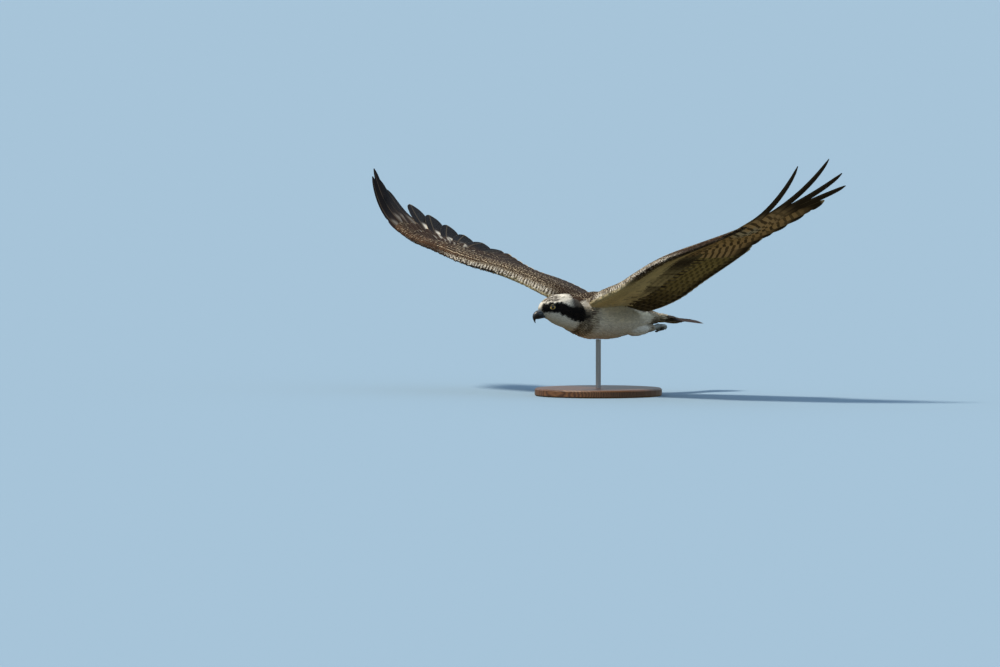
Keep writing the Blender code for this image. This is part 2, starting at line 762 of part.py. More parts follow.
def make_bill(collection, work):
    """The hooked upper bill with its nostrils, and the shorter lower bill that closes against it."""
    right, ahead, up = head_axes()
    upper = loft("bill_upper", bill_rings(BILL_UPPER, 16), work, material("bill", 0.35),
                 head_point(0, *BILL_TIP))
    long, high = NOSTRIL_SIZE
    for side in (1, -1):
        slot = loft("nostril", [
            oval(head_point(side * out, *NOSTRIL_PLACE), ahead, up, long, high, high, 8)
            for out in NOSTRIL_REACH
        ], work)
        upper = carve(upper, slot)
        bpy.data.objects.remove(slot, do_unlink=True)
    space = loft("bill_space", bill_rings(BILL_BEHIND + BILL_UPPER, 16, GAP), work)
    lower = loft("bill_lower", bill_rings(BILL_LOWER, 14), work, material("bill", 0.35))
    lower = carve(lower, space)
    bpy.data.objects.remove(space, do_unlink=True)
    for item in (upper, lower):
        move_to(item, collection)


# The tail

TAIL_ROOT_Y = 0.190
TAIL_ROOT_Z = -0.006
TAIL_ARCH = 2.0            # fall to each side, per metre of the distance squared
TAIL_STATIONS = (
    # back from the root, half width, top, bottom
    (0.0, 0.018, 0.012, 0.012), (0.030, 0.023, 0.013, 0.013), (0.060, 0.026, 0.0100, 0.0125),
    (0.090, 0.027, 0.0060, 0.0095), (0.115, 0.024, 0.0025, 0.0040),
)
TAIL_SPREAD = math.radians(12)           # of the outermost feather
FEATHER_START = 0.034                    # of the tail feathers, back from the root
TAIL_WEBS = (0.009, 0.014)
TAIL_COVERT_WEBS = (0.008, 0.008)
TAIL_STEP = 0.0009                       # each feather lies this much under the one before
CROSSED_RISE = 0.0024                    # the middle pair cross, so one lies over the other
TAIL_COVERTS = (
    # name, reach along the tail feather, height at root and tip
    ("over", 0.50, 0.0040, 0.0036), ("under", 0.60, -0.0050, -0.0044),
)


def tail_sheet(x, y):
    """Height of the tail's fan, which droops to the rear and arches a little across."""
    back = y - TAIL_ROOT_Y
    return TAIL_ROOT_Z - math.tan(TAIL_DROOP) * back - TAIL_ARCH * x * x


def make_tail(collection, work, torso_space):
    rings = []
    for back, half, high, low in TAIL_STATIONS:
        y = TAIL_ROOT_Y + back
        rings.append(oval(Vector((0, y, tail_sheet(0, y) - 0.001)), RIGHT, UP, half, high, low, 14))
    core = loft("tail", rings, work, material("plumage_tail"))
    pieces = []
    half_count = TAIL_FEATHERS // 2
    for side in (1, -1):
        for i in range(half_count):
            spread = (i + 0.45) / half_count
            root = Vector((side * blend(0.002, 0.012, spread), TAIL_ROOT_Y + FEATHER_START))
            length = TAIL_LENGTH * (1 - 0.05 * spread**2)
            angle = TAIL_SPREAD * spread
            tip = root + Vector((side * math.sin(angle), math.cos(angle))) * length
            step = CROSSED_RISE if side < 0 and i == 0 else -TAIL_STEP * i
            pieces.append(vane(
                f"rectrix_{side}_{i}", tail_sheet, root, tip,
                TAIL_WEBS[::side], work, slope=side * LOUVRE, layer=(step, step),
            ))
            for tag, reach, near, far in TAIL_COVERTS:
                pieces.append(vane(
                    f"{tag}_{side}_{i}", tail_sheet, root, root.lerp(tip, reach), TAIL_COVERT_WEBS,
                    work, COVERT_STATIONS, layer=(near + step, far + step), slope=side * LOUVRE,
                    shaft=False,
                ))
    tail = fuse(core, pieces, "tail")
    tail = carve(tail, torso_space)
    move_to(tail, collection)
    return tail


# The legs, tucked back under the tail's root

def tube(name, points, radii, sides, collection, tip=None):
    """A closed tube through points, with its own radius at each."""
    rings = []
    for i, point in enumerate(points):
        before = points[max(0, i - 1)]
        after = points[min(len(points) - 1, i + 1)]
        along = (after - before).normalized()
        across = along.cross(UP)
        if across.length < 0.2:
            across = along.cross(RIGHT)
        across.normalize()
        lift = across.cross(along).normalized()
        rings.append(oval(point, across, lift, radii[i], radii[i], radii[i], sides))
    return loft(name, rings, collection, None, tip)


SHANK_LINE = ((0.027, 0.132, -0.0425), (0.0265, 0.158, -0.0425), (0.025, 0.192, -0.0410))
HEEL = (0.021, 0.226, -0.0375)
PALM = (0.019, 0.252, -0.0340)
SHANK_RADII = (0.0120, 0.0140, 0.0115, 0.0068)
FOOT_RADII = (0.0066, 0.0068, 0.0072)
TOES = (
    # aside from the palm, reach back, drop
    (-0.0070, 0.0120, -0.0035), (0.0005, 0.0150, -0.0045),
    (0.0080, 0.0115, -0.0030), (0.0010, -0.0050, -0.0090),
)
TOE_RADII = (0.0046, 0.0042, 0.0038, 0.0030)
CLAW_LINE = ((0.0020, 0.0010), (-0.0040, -0.0022), (-0.0085, -0.0020), (-0.0130, 0.0020))
CLAW_RADII = (0.0024, 0.0021, 0.0012)


def make_leg(side, label, collection, work, torso_space):
    """One leg: the feathered shank along the belly, the scaly foot, and four clenched toes with claws."""
    mirror = Vector((side, 1, 1))
    heel = Vector(HEEL) * mirror
    palm = Vector(PALM) * mirror
    core = tube(f"{label}_leg", [Vector(p) * mirror for p in SHANK_LINE] + [heel], SHANK_RADII, 14, work)
    core.data.materials.append(material("leg_skin"))
    ankle = heel + Vector((0, -0.012, -0.001))
    pieces = [tube("foot", [ankle, heel, palm], FOOT_RADII, 10, work)]
    for k, (aside, reach, drop) in enumerate(TOES):
        start = palm + Vector((side * aside * 0.5, -0.002, 0))
        mid = palm + Vector((side * aside, reach * 0.60, drop * 0.25))
        knuckle = palm + Vector((side * aside * 1.15, reach, drop))
        pad = palm + Vector((side * aside * 1.1, reach * 0.72 - 0.003, drop - 0.0055))
        pieces.append(tube(f"toe_{k}", [start, mid, knuckle, pad], TOE_RADII, 8, work))
        claw = [pad + Vector((0, back, high)) for back, high in CLAW_LINE]
        pieces.append(tube(f"claw_{k}", claw[:3], CLAW_RADII, 6, work, claw[3]))
    # the exact solver leaves the left leg in two bodies where the clenched toes cross
    leg = fuse(core, pieces, f"{label}_leg", "MANIFOLD")
    leg = carve(leg, torso_space, solver="MANIFOLD")
    move_to(leg, collection)
    return leg


# The stand

def make_stand(collection, torso_space):
    bm = bmesh.new()
    bmesh.ops.create_cone(bm, cap_ends=True, segments=BASE_SIDES, radius1=BASE_RADIUS,
                          radius2=BASE_RADIUS, depth=BASE_HEIGHT)
    base = object_from(bm, "stand_base", collection, material("wood", 0.45))
    base.location = (0, 0, BASE_HEIGHT / 2)
    round_edge = base.modifiers.new("round_edge", "BEVEL")
    round_edge.width = 0.003
    round_edge.segments = 1
    round_edge.limit_method = "ANGLE"
    bm = bmesh.new()
    low = BASE_HEIGHT + GAP
    high = BASE_HEIGHT + ROD_LENGTH + ROD_OVERREACH
    bmesh.ops.create_cone(bm, cap_ends=True, segments=24, radius1=ROD_RADIUS,
                          radius2=ROD_RADIUS, depth=high - low)
    rod = object_from(bm, "stand_rod", collection, material("steel", 0.35, 1.0))
    rod.data.transform(Matrix.Translation((0, 0, (low + high) / 2)))
    rod = carve(rod, torso_space)
    return base, rod


def main():
    clear_scene()
    scene = bpy.context.scene
    bird_parts = bpy.data.collections.new("osprey")
    work = bpy.data.collections.new("cutters")
    scene.collection.children.link(bird_parts)
    scene.collection.children.link(work)
    torso, torso_space = make_torso(bird_parts, work)
    make_neck(bird_parts, work)
    make_head(bird_parts, work)
    make_bill(bird_parts, work)
    make_wings(bird_parts, work, torso_space)
    make_tail(bird_parts, work, torso_space)
    for side, label in ((1, "left"), (-1, "right")):
        make_leg(side, label, bird_parts, work, torso_space)
    bird = bpy.data.objects.new("bird", None)
    scene.collection.objects.link(bird)
    axis = Vector((math.cos(BANK_AZIMUTH), math.sin(BANK_AZIMUTH), 0))
    bank = Matrix.Rotation(-BIRD_BANK, 4, axis)
    place = Matrix.Translation((0, 0, BIRD_HEIGHT)) @ bank @ Matrix.Translation((0, -ROD_Y, 0))
    for item in list(bird_parts.objects) + [torso_space]:
        item.parent = bird
    bird.matrix_world = place
    bpy.context.view_layer.update()
    make_stand(bird_parts, torso_space)
    for item in bird_parts.objects:
        item.data.shade_smooth()
        item.data.set_sharp_from_angle(angle=math.radians(40))


main()
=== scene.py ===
# An osprey in flight, life size, on a plain display stand.
# Metres, +Z up. The bird is built facing -Y in its own frame, then banked onto its rod.
import math

import bpy
import numpy as np
from mathutils import Matrix, Vector


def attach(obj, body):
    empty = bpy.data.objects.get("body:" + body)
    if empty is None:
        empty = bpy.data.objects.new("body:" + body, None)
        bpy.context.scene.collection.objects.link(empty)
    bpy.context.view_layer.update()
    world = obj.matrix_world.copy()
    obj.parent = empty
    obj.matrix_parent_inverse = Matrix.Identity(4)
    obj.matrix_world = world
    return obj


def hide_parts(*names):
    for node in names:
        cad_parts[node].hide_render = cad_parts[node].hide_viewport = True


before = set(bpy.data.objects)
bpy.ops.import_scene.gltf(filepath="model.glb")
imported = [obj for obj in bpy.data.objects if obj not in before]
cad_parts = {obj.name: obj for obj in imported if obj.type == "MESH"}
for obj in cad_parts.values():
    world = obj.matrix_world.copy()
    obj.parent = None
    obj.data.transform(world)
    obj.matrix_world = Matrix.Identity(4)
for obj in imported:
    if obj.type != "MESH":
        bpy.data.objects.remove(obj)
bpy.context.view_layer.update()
rng = np.random.default_rng(11)

bird = {
    "height": 0.197,        # of the bird's own origin above the floor
    "rodY": 0.060,          # where the rod meets the belly
    "bank": 2.5,            # degrees, left side up
    "bankAzimuth": 43,      # degrees, the level axis it banks about
}
bankTurn = math.radians(bird["bankAzimuth"])
bankAxis = Vector((math.cos(bankTurn), math.sin(bankTurn), 0))
place = (Matrix.Translation((0, 0, bird["height"]))
         @ Matrix.Rotation(-math.radians(bird["bank"]), 4, bankAxis)
         @ Matrix.Translation((0, -bird["rodY"], 0)))
placeArray = np.array(place)


# numbers and arrays

def linear(hexColour):
    # sRGB hex to linear light
    parts = [int(hexColour[i:i + 2], 16) / 255 for i in (1, 3, 5)]
    return tuple(p / 12.92 if p <= 0.04045 else ((p + 0.055) / 1.055) ** 2.4 for p in parts)


def through(knots, x):
    # smooth curve through (x, value) knots, straight past both ends
    xs, vs = np.array(knots, float).T
    slopes = np.empty_like(vs)
    slopes[1:-1] = (vs[2:] - vs[:-2]) / (xs[2:] - xs[:-2])
    slopes[0] = (vs[1] - vs[0]) / (xs[1] - xs[0])
    slopes[-1] = (vs[-1] - vs[-2]) / (xs[-1] - xs[-2])
    x = np.asarray(x, float)
    i = np.clip(np.searchsorted(xs, x) - 1, 0, len(xs) - 2)
    width = xs[i + 1] - xs[i]
    t = np.clip((x - xs[i]) / width, 0, 1)
    curve = ((2 * t**3 - 3 * t**2 + 1) * vs[i] + (t**3 - 2 * t**2 + t) * width * slopes[i]
             + (3 * t**2 - 2 * t**3) * vs[i + 1] + (t**3 - t**2) * width * slopes[i + 1])
    return curve + np.minimum(x - xs[0], 0) * slopes[0] + np.maximum(x - xs[-1], 0) * slopes[-1]


def evenly(values, t):
    # smooth curve through evenly spaced values or points, t counted in steps from one to the next
    values = np.asarray(values, float)
    if values.ndim == 1:
        return through(list(enumerate(values)), t)
    return np.stack([through(list(enumerate(column)), t) for column in values.T], -1)


def ease(x, low, high):
    t = np.clip((x - low) / (high - low), 0, 1)
    return t * t * (3 - 2 * t)


def mix(a, b, t):
    return a + (b - a) * t


def unit(v):
    return v / np.maximum(np.linalg.norm(v, axis=-1, keepdims=True), 1e-9)


# meshes from arrays

def putAttribute(mesh, name, kind, domain, values):
    layer = mesh.attributes.get(name) or mesh.attributes.new(name, kind, domain)
    field = {"FLOAT": "value", "FLOAT_VECTOR": "vector", "FLOAT_COLOR": "color"}[kind]
    layer.data.foreach_set(field, np.ascontiguousarray(values, dtype=np.float32).ravel())


def putUv(mesh, name, perVertex):
    corners = np.empty(len(mesh.loops), np.int32)
    mesh.loops.foreach_get("vertex_index", corners)
    layer = mesh.uv_layers.get(name) or mesh.uv_layers.new(name=name)
    layer.data.foreach_set("uv", np.ascontiguousarray(perVertex[corners], dtype=np.float32).ravel())


def meshFrom(name, points, quads, material, placed=False, sharp=None):
    # quads repeat their third corner where a face is a triangle
    mesh = bpy.data.meshes.new(name)
    points = np.asarray(points, float).reshape(-1, 3)
    if not placed:
        points = points @ placeArray[:3, :3].T + placeArray[:3, 3]
    quads = np.asarray(quads, np.int32)
    triangle = quads[:, 2] == quads[:, 3]
    counts = np.where(triangle, 3, 4)
    starts = np.concatenate([[0], np.cumsum(counts)[:-1]])
    keep = np.ones(quads.shape, bool)
    keep[triangle, 3] = False
    mesh.vertices.add(len(points))
    mesh.vertices.foreach_set("co", points.astype(np.float32).ravel())
    mesh.loops.add(int(counts.sum()))
    mesh.loops.foreach_set("vertex_index", quads[keep])
    mesh.polygons.add(len(quads))
    mesh.polygons.foreach_set("loop_start", starts.astype(np.int32))
    mesh.update(calc_edges=True)
    mesh.validate()
    mesh.shade_smooth()
    if sharp:
        mesh.set_sharp_from_angle(angle=math.radians(sharp))
    made = bpy.data.objects.new(name, mesh)
    bpy.context.scene.collection.objects.link(made)
    if material:
        mesh.materials.append(material)
    return made


def loftFaces(rings, sides, closedEnds=True):
    # quads between rings of equal count, each end closed by a fan to one more point
    i = np.arange(rings - 1)[:, None] * sides
    k = np.arange(sides)[None, :]
    nextK = (k + 1) % sides
    quads = np.stack([i + k, i + nextK, i + sides + nextK, i + sides + k], -1).reshape(-1, 4)
    if closedEnds:
        first, last = rings * sides, rings * sides + 1
        k = k.ravel()
        nextK = nextK.ravel()
        top = (rings - 1) * sides
        quads = np.vstack([quads,
                           np.stack([nextK, k, np.full(sides, first), np.full(sides, first)], -1),
                           np.stack([top + k, top + nextK, np.full(sides, last), np.full(sides, last)], -1)])
    return quads


def loftPoints(rings):
    rings = np.asarray(rings, float)
    ends = np.stack([rings[0].mean(0), rings[-1].mean(0)])
    return np.vstack([rings.reshape(-1, 3), ends])


def ovalRing(centre, right, up, half, top, bottom, count, square=1.0):
    angle = np.arange(count) * (2 * math.pi / count)
    c, s = np.cos(angle), np.sin(angle)
    c = np.sign(c) * np.abs(c) ** square
    s = np.sign(s) * np.abs(s) ** square
    high = np.where(s > 0, top, bottom)
    return centre + np.outer(c * half, right) + np.outer(s * high, up)


def joined(name, parts, material, **options):
    points, quads, at = [], [], 0
    for partPoints, partQuads in parts:
        points.append(partPoints)
        quads.append(partQuads + at)
        at += len(partPoints)
    return meshFrom(name, np.vstack(points), np.vstack(quads), material, **options)


def tubeRings(points, radii, sides, flatten=1.0):
    points = np.asarray(points, float)
    along = unit(np.gradient(points, axis=0))
    across = unit(np.cross(along, [0.03, 0.02, 1.0]))
    lift = np.cross(across, along)
    angle = np.arange(sides) * (2 * math.pi / sides)
    radii = np.broadcast_to(radii, len(points))[:, None, None]
    return (points[:, None] + radii * (np.cos(angle)[None, :, None] * across[:, None]
                                       + flatten * np.sin(angle)[None, :, None] * lift[:, None]))


# materials

def addNode(tree, kind, settings=None, inputs=None):
    # one node with its properties, and its inputs given as values or as other nodes' outputs
    node = tree.nodes.new(kind)
    for key, value in (settings or {}).items():
        setattr(node, key, value)
    for key, value in (inputs or {}).items():
        socket = node.inputs[key]
        if isinstance(value, bpy.types.NodeSocket):
            tree.links.new(value, socket)
        else:
            socket.default_value = value
    return node


def newMaterial(name, baseColour, roughness, metallic=0.0, **sockets):
    made = bpy.data.materials.new(name)
    made.use_nodes = True
    shader = made.node_tree.nodes["Principled BSDF"]
    shader.inputs["Base Color"].default_value = (*linear(baseColour), 1)
    shader.inputs["Roughness"].default_value = roughness
    shader.inputs["Metallic"].default_value = metallic
    for key, value in sockets.items():
        shader.inputs[key.replace("_", " ")].default_value = value
    return made, made.node_tree, shader


# the wings' and the tail's mean surfaces, in the bird's own frame
wing = {
    # by distance out from the middle: the leading edge, its height on the left (1) and the right (-1)
    "edgeY": ((0.015, 0.006), (0.035, -0.012), (0.065, -0.030), (0.100, -0.042), (0.160, -0.048),
              (0.220, -0.061), (0.290, -0.079), (0.335, -0.083), (0.410, -0.074), (0.512, -0.059),
              (0.590, -0.034), (0.700, 0.010)),
    "edgeZ": {
        1: ((0.015, 0.002), (0.035, 0.014), (0.065, 0.024), (0.100, 0.034), (0.160, 0.053),
            (0.220, 0.077), (0.335, 0.118), (0.430, 0.147), (0.512, 0.174), (0.590, 0.207),
            (0.660, 0.240), (0.740, 0.277)),
        -1: ((0.015, 0.004), (0.035, 0.017), (0.065, 0.034), (0.100, 0.050), (0.160, 0.073),
             (0.220, 0.093), (0.290, 0.111), (0.335, 0.124), (0.410, 0.146), (0.485, 0.167),
             (0.570, 0.203), (0.660, 0.240), (0.740, 0.277)),
    },
    # rise of the sheet for each metre back from the edge
    "slope": {
        1: ((0.030, -0.12), (0.150, -0.08), (0.230, -0.04), (0.330, 0.01), (0.430, 0.085),
            (0.550, 0.11), (0.740, 0.10)),
        -1: ((0.030, -0.13), (0.150, -0.085), (0.230, -0.07), (0.330, -0.05), (0.430, 0.025),
             (0.550, 0.06), (0.740, 0.065)),
    },
    "chord": ((0.030, 0.215), (0.200, 0.238), (0.335, 0.242), (0.500, 0.20), (0.740, 0.16)),
    "camber": 0.052,        # arch as a share of the chord
    # the fleshy front: its depth back from the edge, its half thickness, and how that runs along the depth
    "bodyDepth": ((0.015, 0.090), (0.065, 0.125), (0.20, 0.108), (0.335, 0.104), (0.45, 0.066),
                  (0.560, 0.034)),
    "bodyThick": ((0.015, 0.010), (0.065, 0.018), (0.16, 0.0145), (0.335, 0.0095), (0.45, 0.0065),
                  (0.560, 0.0030)),
    "profile": ((0.00, 0.0), (0.05, 0.62), (0.20, 1.00), (0.50, 0.85), (0.80, 0.48), (1.00, 0.20)),
    "lowerShare": 0.75,     # of the half thickness, below the sheet
}


def wingSheet(side):
    def height(x, y):
        back = y - through(wing["edgeY"], x)
        share = np.clip(back / through(wing["chord"], x), 0, 1)
        arch = wing["camber"] * through(wing["chord"], x) * np.sin(math.pi * share**0.75)
        return through(wing["edgeZ"][side], x) + back * through(wing["slope"][side], x) + arch
    return height


tail = {"rootY": 0.190, "rootZ": -0.0055, "droop": math.tan(math.radians(3.7)), "arch": 2.0, "turn": 0.05}


def tailSheet(x, y):
    # drooping to the rear, arched a little across, and turned a little about its own length
    back = y - tail["rootY"]
    turned = tail["turn"] * x * ease(back, 0.02, 0.09)
    return tail["rootZ"] - tail["droop"] * back - tail["arch"] * x * x - turned


def sheetNormal(sheet, x, y):
    step = 0.004
    dx = (sheet(x + step, y) - sheet(x - step, y)) / (2 * step)
    dy = (sheet(x, y + step) - sheet(x, y - step)) / (2 * step)
    return unit(np.stack([-dx, -dy, np.ones_like(dx)], -1))


# the vanes: many feathers at once, each a thin closed blade on a sheet
vaneShapes = {
    # share of the length, share of the width
    "flight": ((0, 0.30), (0.12, 0.62), (0.40, 1.0), (0.84, 0.94), (0.95, 0.66), (1, 0.16)),
    "primary": ((0, 0.25), (0.28, 0.78), (0.66, 1.0), (0.88, 0.84), (0.96, 0.56), (1, 0.14)),
    "finger": ((0, 0.25), (0.22, 0.85), (0.44, 1.0), (0.60, 0.62), (0.86, 0.46), (0.96, 0.30), (1, 0.08)),
    "covert": ((0, 0.42), (0.35, 0.86), (0.70, 1.0), (0.90, 0.82), (0.97, 0.55), (1, 0.15)),
    "small": ((0, 0.40), (0.55, 1.0), (0.85, 0.86), (1, 0.20)),
}
shaftSides = {
    "fine": (1, 0.74, 0.48, 0.24, 0.07, 0, -0.05, -0.18, -0.40, -0.66, -0.85, -1),
    "plain": (1, 0.6, 0.15, 0, -0.15, -0.6, -1),
    "coarse": (1, 0.35, -0.35, -1),
}


def vanes(sheet, mirror, root, tip, webs, rows, columns="plain", shape="flight", lift=0.0, bow=0.0,
          layer=(0.0, 0.0), louvre=0.10, edge=0.00022, shaft=0.0009, droop=0.10, splits=0.0):
    # root, tip: (n, 2) in plan. Returns points (n, ring, 3), quads, and for each point its u, v, edge share
    root, tip, webs = (np.asarray(a, float) for a in (root, tip, webs))
    n = len(root)

    def each(value):
        return np.broadcast_to(np.asarray(value, float), n)[:, None]

    stations = np.linspace(0, 1, rows) ** 0.92
    across = np.array(shaftSides[columns])
    reach = np.linalg.norm(tip - root, axis=1)
    along = (tip - root) / reach[:, None]
    side = np.stack([along[:, 1], -along[:, 0]], -1)         # towards the wingtip
    wide = through(vaneShapes[shape], stations)
    middle = (root[:, None] + (tip - root)[:, None] * stations[None, :, None]
              + side[:, None] * (each(bow) * 4 * stations * (1 - stations))[..., None])
    rise = each(lift) * stations**4 + mix(each(layer[0]), each(layer[1]), np.minimum(1, stations * 2.5))
    web = np.where(across > 0, webs[:, :1], webs[:, 1:])      # (n, columns)
    offset = web[:, None, :] * across * wide[None, :, None]
    if splits:
        # short gaps where barbs have parted, cut into the outer part of a web
        for _ in range(3):
            where = rng.uniform(0.25, 0.93, (n, 1, 1))
            depth = rng.uniform(0, splits, (n, 1, 1)) * (np.abs(across) > 0.9)
            onSide = np.sign(across) == np.sign(rng.uniform(-1.6, 1, (n, 1, 1)))
            offset = offset * (1 - depth * onSide * np.exp(-((stations[None, :, None] - where) / 0.014) ** 2))
    x = middle[..., :1] + side[:, None, :1] * offset
    y = middle[..., 1:] + side[:, None, 1:] * offset
    up = sheetNormal(sheet, middle[..., 0], middle[..., 1])[:, :, None, :]
    fall = -droop * np.abs(offset) ** 1.5 / np.maximum(web[:, None, :], 1e-4) ** 0.5
    centre = (np.stack([x, y, sheet(x, y) + rise[..., None]], -1)
              + up * (each(louvre)[..., None] * offset + fall)[..., None])
    thin = edge + shaft * np.clip(1 - np.abs(across) / 0.075, 0, 1)[None, None, :] * (
        1 - 0.75 * stations[None, :, None])
    thin = np.broadcast_to(thin, offset.shape)[..., None] * 0.5
    ring = np.concatenate([centre + up * thin, (centre - up * thin)[:, :, ::-1]], 2)
    count = ring.shape[2]
    u = np.broadcast_to(np.concatenate([across, across[::-1]]), ring.shape[:3])
    v = np.broadcast_to(stations[None, :, None], ring.shape[:3])
    rim = np.maximum(np.abs(u) * 0.91, 1 - (1 - v) * (reach / (0.0075 + 0.12 * reach))[:, None, None])
    points = ring.reshape(n, -1, 3).copy()
    k = np.arange(count)
    nextK = (k + 1) % count
    i = np.arange(rows - 1)[:, None] * count
    quads = np.stack([i + k, i + count + k, i + count + nextK, i + nextK], -1).reshape(-1, 4)
    half = count // 2
    j = np.arange(half - 1)
    cap = np.stack([j, j + 1, count - 2 - j, count - 1 - j], -1)
    quads = np.vstack([quads, cap, cap[:, ::-1] + (rows - 1) * count])
    if mirror < 0:
        points[..., 0] *= -1
        quads = quads[:, ::-1]
    top = np.broadcast_to(np.arange(count) < half, ring.shape[:3]).reshape(n, -1)
    return {"points": points, "quads": quads, "u": u.reshape(n, -1), "v": v.reshape(n, -1),
            "rim": np.clip(rim, 0, 1).reshape(n, -1), "top": top, "reach": reach}


def vaneObject(name, banks, material, atlas=16):
    # each bank: vanes() output with "tone" and "mark" per feather or per point
    points, quads, at = [], [], 0
    columns = {key: [] for key in ("vane", "bake", "tone", "mark", "size")}
    cell = 0
    for bank in banks:
        n, perFeather = bank["points"].shape[:2]
        points.append(bank["points"].reshape(-1, 3))
        quads.append((bank["quads"][None] + (np.arange(n) * perFeather)[:, None, None]).reshape(-1, 4) + at)
        at += n * perFeather
        u, v = bank["u"] * 0.5 + 0.5, bank["v"]
        columns["vane"].append(np.stack([u, v], -1).reshape(-1, 2))
        cells = cell + np.arange(n)[:, None]
        cell += n
        # its own patch of the unwrap: upper face on the left half, under face on the right
        across = np.where(bank["top"], 0.04 + 0.44 * u, 0.96 - 0.44 * u)
        columns["bake"].append(np.stack([(cells % atlas + across) / atlas,
                                         (cells // atlas + 0.04 + 0.92 * v) / atlas], -1).reshape(-1, 2))
        for key in ("tone", "mark"):
            width = bank[key].shape[-1]
            value = bank[key] if bank[key].ndim == 3 else bank[key][:, None, :]
            value = np.broadcast_to(value, (n, perFeather, width)).reshape(-1, width)
            columns[key].append(np.concatenate([value, np.ones((len(value), 4 - width))], 1))
        reach = np.broadcast_to(bank["reach"][:, None], (n, perFeather))
        columns["size"].append(np.stack([bank["rim"], reach, bank["top"].astype(float)], -1).reshape(-1, 3))
    assert cell <= atlas * atlas, (name, cell)
    made = meshFrom(name, np.vstack(points), np.vstack(quads), material, sharp=50)
    mesh = made.data
    putUv(mesh, "OFBake", np.vstack(columns["bake"]))
    putUv(mesh, "vane", np.vstack(columns["vane"]))
    putAttribute(mesh, "tone", "FLOAT_COLOR", "POINT", np.vstack(columns["tone"]))
    putAttribute(mesh, "mark", "FLOAT_COLOR", "POINT", np.vstack(columns["mark"]))
    putAttribute(mesh, "size", "FLOAT_VECTOR", "POINT", np.vstack(columns["size"]))
    return made


# plumage colours and material
plumage = {
    "dark": "#2d211b",        # juvenile upperparts
    "black": "#0e0e12",       # fingers and bars
    "buff": "#e0d0b2",        # pale fringes
    "white": "#e9e5da",
    "shadedLining": "#b9ad8a",      # under wing coverts: their pale buff with painted shade and a painted olive reflection of the ground
    "hand": "#a38f6c",        # under side of the primaries' bases
    "arm": "#85774f",         # under side of the secondaries
    "rufous": "#7d5a3d",
    "shaft": "#a8977c",
}
toneOf = {key: np.array(linear(value)) for key, value in plumage.items()}


